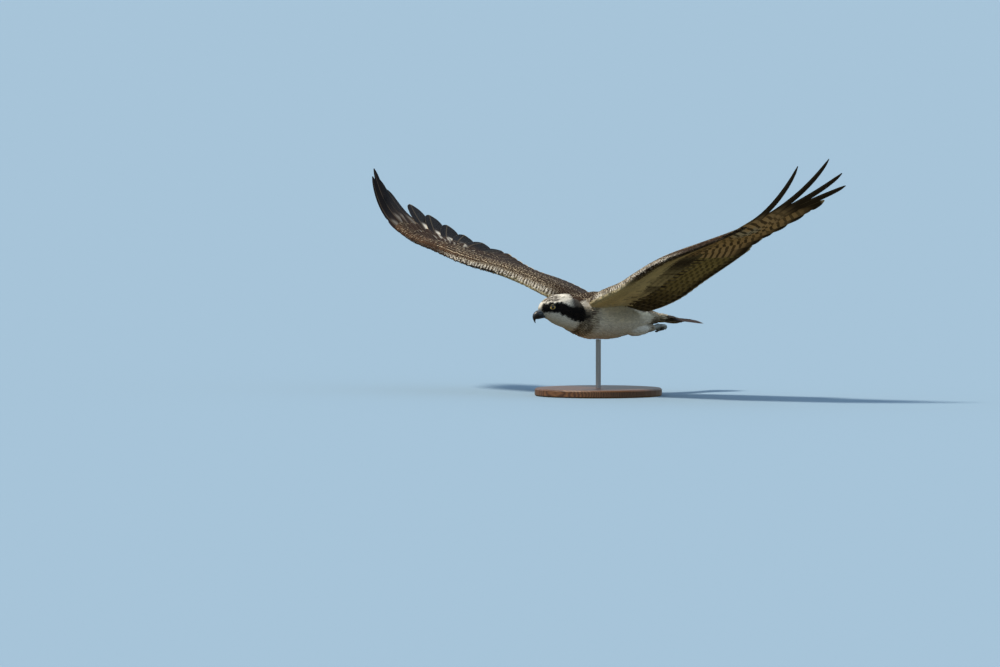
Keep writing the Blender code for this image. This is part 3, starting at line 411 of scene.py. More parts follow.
def featherMaterial(name, barbSpacing, roughness):
    # keratin barbs laid side by side: matt with a soft silky gloss along the vane
    made, tree, shader = newMaterial(name, plumage["dark"], roughness, Specular_IOR_Level=0.03,
                                     Sheen_Weight=0.02, Sheen_Roughness=0.45)
    # mark is fringe, bars, streak and the feather's own phase; size is rim share, length and upper face
    tone, mark, size = (addNode(tree, "ShaderNodeAttribute", {"attribute_name": key})
                        for key in ("tone", "mark", "size"))
    marks = addNode(tree, "ShaderNodeSeparateColor", {}, {"Color": mark.outputs["Color"]})
    sizes = addNode(tree, "ShaderNodeSeparateXYZ", {}, {"Vector": size.outputs["Vector"]})
    uv = addNode(tree, "ShaderNodeUVMap", {"uv_map": "vane"})
    vane = addNode(tree, "ShaderNodeSeparateXYZ", {}, {"Vector": uv.outputs["UV"]})
    noise = addNode(tree, "ShaderNodeTexNoise", {"noise_dimensions": "3D"}, {
        "Vector": addNode(tree, "ShaderNodeTexCoord").outputs["Object"], "Scale": 90.0, "Detail": 3.0})
    values = {
        "across": vane.outputs["X"], "along": vane.outputs["Y"], "wobble": noise.outputs["Fac"],
        "edge": sizes.outputs["X"], "length": sizes.outputs["Y"], "upper": sizes.outputs["Z"],
        "fringe": marks.outputs["Red"], "bar": marks.outputs["Green"], "streak": marks.outputs["Blue"],
        "phase": mark.outputs["Alpha"],
    }
    steps = (
        # result, operation, and its terms as numbers or earlier results
        ("offset", "SUBTRACT", "across", 0.5),
        ("aside", "ABSOLUTE", "offset"),                      # 0 at the shaft, 0.5 at the edge
        ("metres", "MULTIPLY", "along", "length"),
        # dark bars 17 mm apart counted from the tip, so that they run on from feather to feather
        ("fromTip", "SUBTRACT", "length", "metres"),
        ("barTurns", "MULTIPLY", "fromTip", 370.0),
        ("barSlant", "MULTIPLY", "aside", 1.6),
        ("barUnrest", "MULTIPLY", "wobble", 2.4),
        ("barShift", "MULTIPLY", "phase", 1.1),
        ("barUneven", "ADD", "barUnrest", "barShift"),
        ("barLean", "ADD", "barSlant", "barUneven"),
        ("barPhase", "ADD", "barTurns", "barLean"),
        ("barWave", "SINE", "barPhase"),
        ("barDark", "SMOOTHSTEP", "barWave", 0.00, 0.50),
        ("offShaft", "SMOOTHSTEP", "aside", 0.01, 0.07),
        ("barClear", "MULTIPLY", "barDark", "offShaft"),
        ("barred", "MULTIPLY", "barClear", "bar"),
        # a dark streak along the shaft
        ("streakUneven", "MULTIPLY", "wobble", 0.10),
        ("streakReach", "ADD", "aside", "streakUneven"),
        ("streakShape", "SMOOTHSTEP", "streakReach", 0.22, 0.10),
        ("streaked", "MULTIPLY", "streakShape", "streak"),
        # a pale fringe round the edge
        ("wobbleBoth", "SUBTRACT", "wobble", 0.5),
        ("rimUneven", "MULTIPLY", "wobbleBoth", 0.22),
        ("rim", "ADD", "edge", "rimUneven"),
        ("rimShape", "SMOOTHSTEP", "rim", 0.86, 0.96),
        ("fringed", "MULTIPLY", "rimShape", "fringe"),
        # the shaft is paler than the vane, most of all from below
        ("shaftShape", "SMOOTHSTEP", "aside", 0.035, 0.012),
        ("shaftFall", "MULTIPLY", "upper", 0.16 - 0.45),
        ("shaftShare", "ADD", 0.45, "shaftFall"),
        ("quill", "MULTIPLY", "shaftShape", "shaftShare"),
        # barbs run out and forward from the shaft
        ("barbLean", "MULTIPLY", "aside", 0.012),
        ("barbPlace", "ADD", "metres", "barbLean"),
        ("barbPhase", "MULTIPLY", "barbPlace", 2 * math.pi / barbSpacing),
        ("barbs", "SINE", "barbPhase"),
        ("barbTone", "MULTIPLY", "barbs", 0.05),
        ("mottle", "MULTIPLY", "wobble", 0.16),
        ("uneven", "ADD", "barbTone", "mottle"),
        ("fine", "ADD", 0.93, "uneven"),
    )
    for result, operation, *terms in steps:
        terms = [values.get(term, term) for term in terms]
        if operation == "SMOOTHSTEP":
            node = addNode(tree, "ShaderNodeMapRange", {"interpolation_type": operation},
                           dict(zip(("Value", "From Min", "From Max"), terms)))
        else:
            node = addNode(tree, "ShaderNodeMath", {"operation": operation}, dict(enumerate(terms)))
        values[result] = node.outputs[0]
    colour = tone.outputs["Color"]
    for share, key in (("barred", "black"), ("streaked", "dark"), ("fringed", "buff"), ("quill", "shaft")):
        colour = addNode(tree, "ShaderNodeMix", {"data_type": "RGBA"}, {
            0: values[share], 6: colour, 7: (*linear(plumage[key]), 1)}).outputs[2]
    shade = addNode(tree, "ShaderNodeHueSaturation", {}, {"Color": colour, "Value": values["fine"]})
    tree.links.new(shade.outputs["Color"], shader.inputs["Base Color"])
    bump = addNode(tree, "ShaderNodeBump", {}, {
        "Strength": 0.25, "Distance": 0.0004, "Height": values["barbs"]})
    tree.links.new(bump.outputs["Normal"], shader.inputs["Normal"])
    return made


# barbs lie 0.4 mm apart on a real feather, drawn 1.6 and 0.8 mm apart so that they show
flightFeather = featherMaterial("keratin of flight feathers", 0.0016, 0.58)
contourFeather = featherMaterial("keratin of contour feathers", 0.0008, 0.66)


def marksOf(n, fringe=0.0, bars=0.0, streak=0.0, vary=0.2):
    values = np.stack([np.broadcast_to(value, n) for value in (fringe, bars, streak)], -1)
    values = np.clip(values * rng.uniform(1 - vary, 1 + vary, values.shape), 0, 1)
    return np.concatenate([values, rng.uniform(0, 1, (n, 1))], 1)


def tonesOf(n, colour, vary=0.14):
    return np.clip(np.broadcast_to(colour, (n, 3)) * rng.uniform(1 - vary, 1 + vary, (n, 1)), 0, 1)


def twoFaced(bank, upper, under):
    # one tone or mark for the upper face and another for the under face, per point
    top = bank["top"][..., None]
    return np.where(top, upper[:, None, :], under[:, None, :])


# wings: flight feathers and great coverts
flight = {
    # primaries are numbered outwards, places along the secondaries run from 0 at the wrist to 1 at the body
    "primaries": 10, "fingers": 4, "secondaries": 18,
    "primaryRoots": ((0.342, -0.030), (0.452, -0.052)),
    "primaryTipX": ((0, 0.402), (3, 0.548), (5, 0.664), (6, 0.735), (7, 0.742), (8, 0.730), (9, 0.682)),
    "primaryTipY": ((0, 0.157), (2, 0.130), (4, 0.122), (6, 0.116), (7, 0.096), (8, 0.064), (9, 0.008)),
    "lift": ((0, 0.0), (5, 0.001), (6, 0.004), (7, 0.031), (8, 0.073), (9, 0.087)),
    "rise": {1: 1.0, -1: 0.80},     # share of the lift, left and right
    "bow": (0.004, 0.016),
    "secondaryRootX": (0.327, 0.085),
    "secondaryRootY": ((0, -0.030), (0.5, 0.010), (0.8, 0.026), (1, 0.018)),
    "secondaryTipX": ((0, 0.386), (0.5, 0.238), (1, 0.078)),
    "secondaryTipY": ((0, 0.168), (0.4, 0.174), (0.75, 0.182), (1, 0.176)),
    # width of the outer and the inner web
    "webs": {"primary": (0.014, 0.036), "finger": (0.011, 0.027), "secondary": (0.012, 0.025)},
}
numbers = np.arange(flight["primaries"])
share = numbers / (flight["primaries"] - 1)
nearRoot, farRoot = np.array(flight["primaryRoots"])
primaryRoot = nearRoot + (farRoot - nearRoot) * share[:, None]
primaryTip = np.stack([through(flight["primaryTipX"], numbers), through(flight["primaryTipY"], numbers)], -1)
primaryLift = through(flight["lift"], numbers)
primaryBow = mix(*flight["bow"], share)
along = np.arange(flight["secondaries"]) / (flight["secondaries"] - 1)
secondaryRoot = np.stack([mix(*flight["secondaryRootX"], along),
                          through(flight["secondaryRootY"], along)], -1)
secondaryTip = np.stack([through(flight["secondaryTipX"], along),
                         through(flight["secondaryTipY"], along)], -1)
fingered = numbers >= flight["primaries"] - flight["fingers"]


def flightBanks(side):
    sheet = wingSheet(side)
    rise = flight["rise"][side]
    banks = []
    for shape, pick in (("primary", ~fingered), ("finger", fingered)):
        root, tip = primaryRoot[pick], primaryTip[pick]
        n = len(root)
        bank = vanes(sheet, side, root, tip, np.tile(flight["webs"][shape], (n, 1)), 56, "fine", shape,
                     lift=primaryLift[pick] * rise, bow=primaryBow[pick], splits=0.30,
                     louvre=0.10 if shape == "primary" or side < 0 else 0.40)
        bank["tone"] = twoFaced(bank, tonesOf(n, toneOf["dark"] * 0.8, 0.12),
                                tonesOf(n, toneOf["hand"] * (2.3, 2.1, 2.1), 0.06))
        u, v, top = (bank[key][..., None] for key in ("u", "v", "top"))
        # black outer thirds, and on the upper face a painted highlight: a white wedge of glinting light at
        # the base of the inner web
        start = np.where(top, 0.46, 0.44 if shape == "finger" else 0.68)
        tipDark = ease(v + 0.05 * np.sin(u * 3), start, start + 0.20)
        bank["tone"] = mix(bank["tone"], toneOf["black"], tipDark * np.where(top, 0.90, 0.94))
        outer = ease(numbers[pick], 1.5, 4.0)[:, None, None]
        glintWedge = (ease(v, 0.60, 0.52) * ease(v, 0.36, 0.42) * top
                 * ease(u, -0.05, -0.25) * ease(u, -0.75, -0.5) * outer)
        bank["tone"] = mix(bank["tone"], toneOf["white"], glintWedge * (0.95 if shape == "primary" else 0.15))
        base = ease(v, 0.42, 0.36) * ease(v, 0.20, 0.30) * ~top * (shape == "finger")
        bank["tone"] = mix(bank["tone"], toneOf["white"], base * 0.7)
        buffTip = ease(v, 0.965, 0.99) * ~top * 0.9 * (shape == "primary")
        bank["tone"] = mix(bank["tone"], toneOf["buff"], buffTip)
        bank["mark"] = twoFaced(bank, marksOf(n, 0.16 if shape == "primary" else 0.0, 0.0),
                                marksOf(n, 0.45 if shape == "primary" else 0.0, 0.70))
        bank["mark"] *= 1 - tipDark * np.array([0, 1, 0, 0])
        banks.append(bank)
    n = flight["secondaries"]
    bank = vanes(sheet, side, secondaryRoot, secondaryTip, np.tile(flight["webs"]["secondary"], (n, 1)), 44,
                 "fine", "flight", splits=0.25)
    bank["tone"] = twoFaced(bank, tonesOf(n, toneOf["dark"] * 0.85, 0.12),
                            tonesOf(n, toneOf["arm"] * 2.0, 0.16))
    u, v, top = (bank[key][..., None] for key in ("u", "v", "top"))
    # each under side darkens along its outer web and towards its tip, and most of all near the body
    shadeWeb = ease(u, 0.1, 0.8) * 0.45
    nearBody = ease(along, 0.35, 0.9)[:, None, None]
    tipDark = np.maximum(ease(v, 0.78, 0.90) * 0.85, nearBody * 0.85)
    darkened = np.where(top, ease(v, 0.6, 0.95) * 0.5, np.maximum(shadeWeb, tipDark))
    bank["tone"] = mix(bank["tone"], toneOf["dark"] * 0.9, darkened)
    rim = ease(v, 0.955, 0.985) * ~top
    bank["tone"] = mix(bank["tone"], toneOf["buff"], rim * 0.9)
    bank["mark"] = twoFaced(bank, marksOf(n, 0.70, 0.10), marksOf(n, 0.6, 0.55))
    banks.append(bank)
    return banks


def alongRoots(count):
    # evenly spaced roots and tips along the row of flight feathers, and for each its share of the hand
    roots = np.vstack([secondaryRoot[::-1], primaryRoot])
    tips = np.vstack([secondaryTip[::-1], primaryTip])
    spot = np.linspace(0, len(roots) - 1, count)
    index = np.arange(len(roots))
    onHand = np.r_[np.zeros(flight["secondaries"]), np.ones(flight["primaries"])]
    picked = [np.stack([np.interp(spot, index, row[:, axis]) for axis in range(2)], -1)
              for row in (roots, tips)]
    return *picked, np.interp(spot, index, onHand)


covertRows = {
    # name: feathers, start and reach along the flight feather on the arm, the same on the hand,
    #       webs, height off the sheet at root and tip
    "upper": (
        (30, 0.04, 0.53, 0.04, 0.40, (0.0095, 0.0125), (0.0012, 0.0036)),
        (44, -0.06, 0.34, -0.06, 0.26, (0.0080, 0.0095), (0.0036, 0.0052)),
    ),
    "under": (
        (30, 0.04, 0.50, 0.04, 0.36, (0.0100, 0.0135), (-0.0012, -0.0040)),
        (44, -0.06, 0.36, -0.06, 0.27, (0.0085, 0.0105), (-0.0036, -0.0058)),
    ),
}


def covertBanks(side, face):
    sheet = wingSheet(side)
    banks = []
    for row, (count, start, reach, handStart, handReach, webs, layer) in enumerate(covertRows[face]):
        root, tip, hand = alongRoots(count)
        line = tip - root
        low = mix(start, handStart, hand)[:, None]
        high = (mix(reach, handReach, hand) * rng.uniform(0.96, 1.04, count))[:, None]
        bank = vanes(sheet, side, root + line * low, root + line * high,
                     np.array(webs) * rng.uniform(0.94, 1.06, (count, 1)), 16, "plain", "covert",
                     layer=layer, shaft=0.0005, edge=0.0002, splits=0.2,
                     droop=0.12 if face == "upper" else -0.12)
        x = root[:, 0]
        if face == "upper":
            tone = tonesOf(count, toneOf["dark"], 0.22)
            bank["tone"] = np.broadcast_to(tone[:, None], (*bank["v"].shape, 3)).copy()
            # painted highlights: a few narrow white streaks of glinting light among the coverts of the
            # primaries
            streaked = hand * (rng.uniform(0, 1, count) < 0.45)
            pale = streaked[:, None] * ease(bank["v"], 0.30, 0.5) * ease(np.abs(bank["u"] + 0.35), 0.35, 0.1)
            bank["tone"] = mix(bank["tone"], toneOf["white"], pale[..., None] * (0.75 if row == 0 else 0.4))
            bank["mark"] = marksOf(count, mix(0.60, 0.25, hand), 0.0)
        else:
            # dark band of great coverts on the arm, and the black patch behind the wrist
            band = ease(x, 0.40, 0.32) * rng.uniform(0.45, 1.0, count)
            patch = np.exp(-((x - 0.300) / 0.060) ** 2) * 0.95
            if row == 0:
                dark = np.maximum(band, patch)
            else:
                dark = np.maximum(patch, 0.6 * (rng.uniform(0, 1, count) < 0.25))
            # its base carries the under coverts' painted shade and painted olive reflection of the ground
            base = mix(toneOf["shadedLining"] * 1.3, toneOf["hand"] * (2.2, 2.0, 1.9), hand[:, None])
            spotted = rng.uniform(0.0, 1.0, count) < 0.35
            dark = np.maximum(dark, 0.8 * spotted * (row == 0))
            bank["tone"] = mix(tonesOf(count, base), toneOf["dark"], dark[:, None])
            bank["mark"] = marksOf(count, 0.45, mix(0.35, 0.9, hand))
        banks.append(bank)
    return banks


for side, label in ((1, "left"), (-1, "right")):
    wingFeathers = vaneObject(label + "FlightFeathers", flightBanks(side), flightFeather, 6)
    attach(wingFeathers, "root")
    coverts = vaneObject(label + "GreatCoverts", covertBanks(side, "upper") + covertBanks(side, "under"),
                         contourFeather, 13)
    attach(coverts, "root")
    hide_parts(label + "_wing_arm", label + "_wing_hand")
print("flight feathers and great coverts")


# small coverts in rows on the fleshy front of the wing
smallRows = {
    "count": 7, "acrossSpacing": 0.0078,
    "firstShare": 0.07, "lastShare": 0.86,      # of the wing body's depth, where a row starts
    "length": (0.013, 0.030),                   # first and last row
    "webs": (0.0040, 0.0068),
    "span": (0.050, 0.545),
    "fullness": ((0, 0.02, 0.06, 0.20, 0.50, 0.80, 1.00, 1.25),        # over the depth of the wing body
                 (0.10, 0.40, 0.66, 1.0, 0.86, 0.50, 0.22, 0.10)),
}


def bodySurface(side, face):
    sheet = wingSheet(side)

    def height(x, y):
        depth = through(wing["bodyDepth"], x)
        part = np.clip((y - through(wing["edgeY"], x)) / depth, 0.0, 1.25)
        thick = through(wing["bodyThick"], x) * np.interp(part, *smallRows["fullness"])
        return sheet(x, y) + (thick if face == "upper" else -thick * wing["lowerShare"])
    return height


def smallBanks(side, face):
    surface = bodySurface(side, face)
    banks = []
    for row in range(smallRows["count"]):
        t = row / (smallRows["count"] - 1)
        length = mix(*smallRows["length"], t)
        web = mix(*smallRows["webs"], t)
        low, high = smallRows["span"]
        count = int((high - low) / (smallRows["acrossSpacing"] * mix(0.85, 1.15, t)))
        x = np.linspace(low, high, count) + rng.uniform(-0.0012, 0.0012, count) + (row % 2) * 0.003
        depth = through(wing["bodyDepth"], x)
        y = through(wing["edgeY"], x) + depth * mix(smallRows["firstShare"], smallRows["lastShare"], t**1.15)
        root = np.stack([x, y + rng.uniform(-0.001, 0.001, count)], -1)
        lean = mix(0.10, 1.15, ease(x, 0.20, 0.56)) + rng.uniform(-0.09, 0.09, count)
        reach = length * rng.uniform(0.88, 1.1, count) * mix(1, 0.8, ease(x, 0.35, 0.55))
        tip = root + np.stack([np.sin(lean), np.cos(lean)], -1) * reach[:, None]
        sign = 1 if face == "upper" else -1
        bank = vanes(surface, side, root, tip, np.full((count, 2), web) * rng.uniform(0.92, 1.1, (count, 1)),
                     7, "coarse", "small", layer=(sign * -0.0006, sign * 0.0016), louvre=0.04,
                     shaft=0.0002, edge=0.00025, droop=0.20 * sign)
        if face == "upper":
            # the first rows on the arm are tipped white, the rest dark with a few pale tips
            scallops = ease(x, 0.40, 0.34) * mix(1.0, 0.35, t)
            few = (rng.uniform(0, 1, count) < 0.45) * mix(0.70, 0.25, ease(x, 0.40, 0.48)) + 0.10
            bank["mark"] = marksOf(count, np.maximum(scallops, few), 0.0, 0.0, 0.15)
            rusty = rng.uniform(0, 1, (count, 1)) * ease(t, 0.8, 0.2)
            tone = mix(tonesOf(count, toneOf["dark"] * 0.8, 0.30), toneOf["rufous"], rusty * 0.22)
            pale = np.maximum(scallops, few) * rng.uniform(0.35, 1.0, count)
            tipped = ease(bank["v"], 0.78, 0.92) * pale[:, None]
            bank["tone"] = mix(tone[:, None], toneOf["buff"], tipped[..., None] * 0.75)
        else:
            # pale under wing coverts with painted shade and a painted olive reflection of the ground, a dark
            # rim in front and the black patch at the wrist
            patch = np.exp(-((x - 0.310) / 0.045) ** 2) * 0.95 * ease(t, 0.45, 0.8)
            rim = (0.92 * (row < 1) + 0.75 * (row == 1) * ease(x, 0.20, 0.28)) * ease(x, 0.16, 0.24)
            streaked = (rng.uniform(0, 1, count) < 0.18) * 0.5 * ease(t, 0.5, 0.8)
            dark = np.maximum(np.maximum(patch, rim), streaked)
            base = mix(toneOf["shadedLining"] * 1.75, toneOf["hand"] * 1.8, ease(x, 0.24, 0.42)[:, None])
            bank["tone"] = mix(tonesOf(count, base, 0.10), toneOf["dark"] * 1.15, dark[:, None])
            bank["mark"] = marksOf(count, np.where(x < 0.34, 0.95, 0.2) if row == 0 else 0.18, 0.0,
                                   np.where(t > 0.7, 0.35, 0.05))
        banks.append(bank)
    return banks


for side, label in ((1, "left"), (-1, "right")):
    small = vaneObject(label + "SmallCoverts", smallBanks(side, "upper") + smallBanks(side, "under"),
                       contourFeather, 30)
    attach(small, "root")
print("small coverts")


# tail
tailPlan = {
    "feathers": 12, "length": 0.166, "start": 0.224, "spread": 12, "webs": (0.009, 0.014),
    # share of the tail's length, height off the sheet at root and tip
    "coverts": ((0.56, 0.0050, 0.0046), (0.38, 0.0082, 0.0070),
                (0.60, -0.0050, -0.0044), (0.42, -0.0078, -0.0066)),
}


def tailBanks():
    banks = []
    half = tailPlan["feathers"] // 2
    i = np.arange(half)
    spread = (i + 0.45) / half
    reach = tailPlan["length"] * (1 - 0.05 * spread**2)
    angle = math.radians(tailPlan["spread"]) * spread
    under = mix(toneOf["rufous"] * 0.9, toneOf["hand"] * 0.5, 0.5)
    for side in (1, -1):
        # each feather lies under the one nearer the middle
        root = np.stack([mix(0.002, 0.012, spread), np.full(half, tailPlan["start"])], -1)
        tip = root + np.stack([np.sin(angle), np.cos(angle)], -1) * reach[:, None]
        step = -0.0006 * i + (0.0016 if side < 0 else 0) * (i == 0)
        bank = vanes(tailSheet, side, root, tip, np.tile(tailPlan["webs"], (half, 1)), 44, "fine", "flight",
                     layer=(step, step), louvre=0.03, splits=0.12)
        bank["tone"] = twoFaced(bank, tonesOf(half, toneOf["dark"] * 1.6, 0.08), tonesOf(half, under, 0.08))
        bank["mark"] = twoFaced(bank, marksOf(half, 0.15, 0.45), marksOf(half, 0.1, 0.50))
        banks.append(bank)
        for reachShare, near, far in tailPlan["coverts"]:
            bank = vanes(tailSheet, side, root, root + (tip - root) * reachShare, np.full((half, 2), 0.0085),
                         16, "plain", "covert", layer=(near + step, far + step), shaft=0.0004, splits=0.2)
            upper = near > 0
            bank["tone"] = tonesOf(half, toneOf["dark"] * 1.3 if upper else toneOf["hand"] * 0.8)
            bank["mark"] = marksOf(half, 0.5, 0.1 if upper else 0.5)
            banks.append(bank)
    return banks


tailFeathers = vaneObject("tailFeathers", tailBanks(), flightFeather, 8)
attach(tailFeathers, "root")
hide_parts("tail")
print("tail")


# the skin: one closed surface under all the small feathers
torsoShape = (
    # y, height of the middle, half width, top, bottom
    (-0.034, -0.003, 0.0420, 0.0370, 0.0430), (-0.010, -0.005, 0.0530, 0.0450, 0.0500),
    (0.018, -0.007, 0.0605, 0.0530, 0.0555), (0.055, -0.008, 0.0650, 0.0575, 0.0565),
    (0.095, -0.009, 0.0640, 0.0545, 0.0550), (0.140, -0.010, 0.0560, 0.0450, 0.0470),
    (0.180, -0.011, 0.0450, 0.0330, 0.0365), (0.215, -0.011, 0.0340, 0.0230, 0.0290),
    (0.245, -0.012, 0.0240, 0.0150, 0.0180), (0.268, -0.013, 0.0120, 0.0070, 0.0090),
)
head = {
    "centre": (-0.005, -0.090, 0.011), "turn": 22, "dip": 8,
    "eye": (0.0185, 0.0105, 0.0018), "eyeRadius": 0.0078, "eyeFacing": (0.93, 0.36),
}
headShape = (
    # forward of the head's centre, half width, top, bottom, lean of the section at its top
    (-0.0300, 0.0310, 0.0275, 0.0560, 0.00), (-0.0180, 0.0300, 0.0285, 0.0510, 0.00),
    (-0.0040, 0.0275, 0.0285, 0.0435, 0.00), (0.0080, 0.0245, 0.0260, 0.0365, 0.05),
    (0.0180, 0.0205, 0.0215, 0.0305, 0.15), (0.0270, 0.0155, 0.0140, 0.0255, 0.30),
    (0.0335, 0.0115, 0.0065, 0.0230, 0.42), (0.0370, 0.0088, 0.0005, 0.0215, 0.51),
)
turnHead = np.array(Matrix.Rotation(-math.radians(head["turn"]), 3, "Z"))
dip = math.radians(head["dip"])
headRight = turnHead @ (1, 0, 0)
headAhead = turnHead @ (0, -math.cos(dip), -math.sin(dip))
headUp = turnHead @ (0, -math.sin(dip), math.cos(dip))
headCentre = np.array(head["centre"])


def headPoint(side, forward, height):
    return (headCentre + np.multiply.outer(side, headRight) + np.multiply.outer(forward, headAhead)
            + np.multiply.outer(height, headUp))


def shapeAt(table, where):
    table = sorted(table)
    return [through([(row[0], row[k]) for row in table], where) for k in range(1, len(table[0]))]


skinPlan = {
    "sides": 72, "torsoDepth": 0.0048, "crownDepth": 0.0022, "faceDepth": 0.0013, "wingDepth": 0.0012,
    "legDepth": 0.0026, "voxel": 0.0023, "smoothing": 6,
}


def bodyLoft():
    sides = skinPlan["sides"]
    rings = []
    for y in np.linspace(0.268, -0.034, 60):
        z, half, top, bottom = shapeAt(torsoShape, y)
        inset = skinPlan["torsoDepth"] * min(1, half / 0.03)
        rings.append(ovalRing(np.array((0, y, z)), np.array((1.0, 0, 0)), np.array((0, 0, 1.0)),
                              half - inset, top - inset, bottom - inset, sides))
    front = rings[-1]
    half, top, bottom, lean = shapeAt(headShape, -0.030)
    inset = skinPlan["crownDepth"] + 0.0012
    rear = ovalRing(headPoint(0, -0.030, 0), headRight, headUp,
                    half - inset, top - inset, bottom - inset, sides)
    for t in np.linspace(0, 1, 9)[1:-1]:
        bulge = 1 + 0.04 * math.sin(math.pi * t)
        ring = mix(front, rear, t)
        rings.append(ring.mean(0) + (ring - ring.mean(0)) * bulge)
    for s in np.linspace(-0.030, 0.037, 30):
        half, top, bottom, lean = shapeAt(headShape, s)
        inset = mix(skinPlan["crownDepth"] + 0.0012, skinPlan["faceDepth"], ease(s, -0.03, 0.02))
        rings.append(ovalRing(headPoint(0, s, 0), headRight, headUp + headAhead * lean,
                              half - inset, top - inset, bottom - inset, sides))
    return loftPoints(rings), loftFaces(len(rings), sides)


def wingLoft(side):
    sheet = wingSheet(side)
    shares = np.array((0.0, 0.015, 0.05, 0.11, 0.20, 0.34, 0.50, 0.66, 0.82, 0.94))
    full = through(wing["profile"], shares)
    full[0] = 0.12
    rings = []
    for x in np.linspace(0.015, 0.552, 60):
        y = through(wing["edgeY"], x) + 0.0015 + (through(wing["bodyDepth"], x) - 0.004) * shares
        thick = np.maximum(through(wing["bodyThick"], x) * full - skinPlan["wingDepth"], 0.0016)
        xs = np.full_like(y, x)
        centre = np.stack([xs, y, sheet(xs, y)], -1)
        up = sheetNormal(sheet, xs, y) * thick[:, None]
        rings.append(np.vstack([centre + up, (centre - up * wing["lowerShare"])[::-1]]))
    points, quads = loftPoints(rings), loftFaces(len(rings), 2 * len(shares))
    points[:, 0] *= side
    return points, quads if side < 0 else quads[:, [1, 0, 3, 2]]


legPlan = {
    "shank": ((0.026, 0.092, -0.0300), (0.027, 0.130, -0.0400), (0.0265, 0.158, -0.0425),
              (0.025, 0.192, -0.0410), (0.021, 0.226, -0.0375)),
    "radii": (0.0100, 0.0130, 0.0142, 0.0118, 0.0068),
    "palm": (0.019, 0.252, -0.0325),
    # each toe: aside, reach, drop
    "toes": ((-0.0070, 0.0120, -0.0020), (0.0005, 0.0150, -0.0025), (0.0080, 0.0115, -0.0015),
             (0.0010, -0.0050, -0.0060)),
}
browRows = (
    # forward, aside, height, thickness
    (0.0250, 0.0130, 0.0048, 0.0008), (0.0190, 0.0176, 0.0082, 0.0018), (0.0130, 0.0206, 0.0098, 0.0023),
    (0.0060, 0.0226, 0.0104, 0.0026), (-0.0020, 0.0240, 0.0098, 0.0018), (-0.0080, 0.0245, 0.0085, 0.0008),
)
tailCoreRows = (
    # behind the tail's root, half width, rise, fall; from the rear forward
    (0.115, 0.024, 0.0025, 0.0040), (0.090, 0.027, 0.006, 0.0095), (0.060, 0.026, 0.010, 0.0125),
    (0.030, 0.023, 0.013, 0.013), (0, 0.018, 0.012, 0.012),
)


def legLoft(side):
    t = np.linspace(0, 4, 34)
    line = evenly(legPlan["shank"], t)
    line[:, 0] *= side
    radii = evenly(legPlan["radii"], t) - skinPlan["legDepth"] * ease(t, 4.0, 3.2)
    rings = tubeRings(line, radii, 20)
    return loftPoints(rings), loftFaces(len(rings), 20)


def browLoft(side):
    rings = [ovalRing(headPoint(side * out, s, high), headRight, headUp, thick, thick * 0.8, thick * 0.8, 16)
             for s, out, high, thick in browRows]
    return loftPoints(rings), loftFaces(len(rings), 16)


def tailCore():
    rings = []
    for back, half, rise, fall in tailCoreRows:
        y = tail["rootY"] + back
        centre = np.array((0, y, float(tailSheet(0.0, y)) - 0.001))
        rise, fall = max(rise - 0.003, 0.0018), max(fall - 0.003, 0.0018)
        rings.append(ovalRing(centre, np.array((1.0, 0, 0)), np.array((0, 0, 1.0)), half - 0.002, rise, fall,
                              28))
    return loftPoints(rings), loftFaces(len(rings), 28)


limbs = [part for side in (1, -1) for part in (wingLoft(side), legLoft(side), browLoft(side))]
skinCore = joined("skinCore", [bodyLoft(), tailCore(), *limbs], None, placed=True)
remesh = skinCore.modifiers.new("oneSurface", "REMESH")
remesh.mode = "VOXEL"
remesh.voxel_size = skinPlan["voxel"]
remesh.use_smooth_shade = True
relax = skinCore.modifiers.new("relax", "SMOOTH")
relax.factor = 0.5
relax.iterations = skinPlan["smoothing"]
graph = bpy.context.evaluated_depsgraph_get()
skinMesh = bpy.data.meshes.new_from_object(skinCore.evaluated_get(graph))
bpy.data.objects.remove(skinCore)
birdSkin = bpy.data.objects.new("birdSkin", skinMesh)
bpy.context.scene.collection.objects.link(birdSkin)
skinMesh.shade_smooth()
print("skin", len(skinMesh.polygons), "faces")

placedPoints = np.empty((len(skinMesh.vertices), 3), np.float32)
skinMesh.vertices.foreach_get("co", placedPoints.ravel())
p = placedPoints.astype(float)      # still in the bird's own frame
normals = np.empty((len(p), 3), np.float32)
skinMesh.vertex_normals.foreach_get("vector", normals.ravel())
normals = normals.astype(float)


def headFrame(points):
    d = points - headCentre
    return d @ headAhead, d @ headRight, d @ headUp      # forward, aside, height


forward, aside, height = headFrame(p)
nearHead = ease(np.hypot(aside, height), 0.080, 0.062)
onHead = ease(forward, -0.040, -0.022) * nearHead
outOnWing = ease(np.abs(p[:, 0]), 0.048, 0.085) * ease(p[:, 1], 0.16, 0.13) * (1 - onHead)
mirrored = np.c_[np.abs(p[:, 0]), p[:, 1:]]
fromLeg = np.full(len(p), 1.0)
for spot in evenly(legPlan["shank"], np.linspace(1.2, 4, 24)):
    fromLeg = np.minimum(fromLeg, np.linalg.norm(mirrored - spot, axis=1))
onLeg = ease(fromLeg, 0.018, 0.0145) * (1 - outOnWing)

# the lie of the coat: back from the bill over the head and body, out and back along the wings
fromBill = unit(p - headPoint(0, 0.050, -0.012))
backward = np.array((0, 1.0, 0.0))
lean = mix(0.10, 1.15, ease(np.abs(p[:, 0]), 0.20, 0.56))
alongWing = np.stack([np.sign(p[:, 0]) * np.sin(lean), np.cos(lean), np.zeros(len(p))], -1)
toHead = (ease(forward, -0.085, -0.030) * nearHead)[:, None]
lie = backward * (1 - toHead) + fromBill * toHead
lie = mix(lie, alongWing, outOnWing[:, None])
lie = unit(lie - normals * (lie * normals).sum(1, keepdims=True))

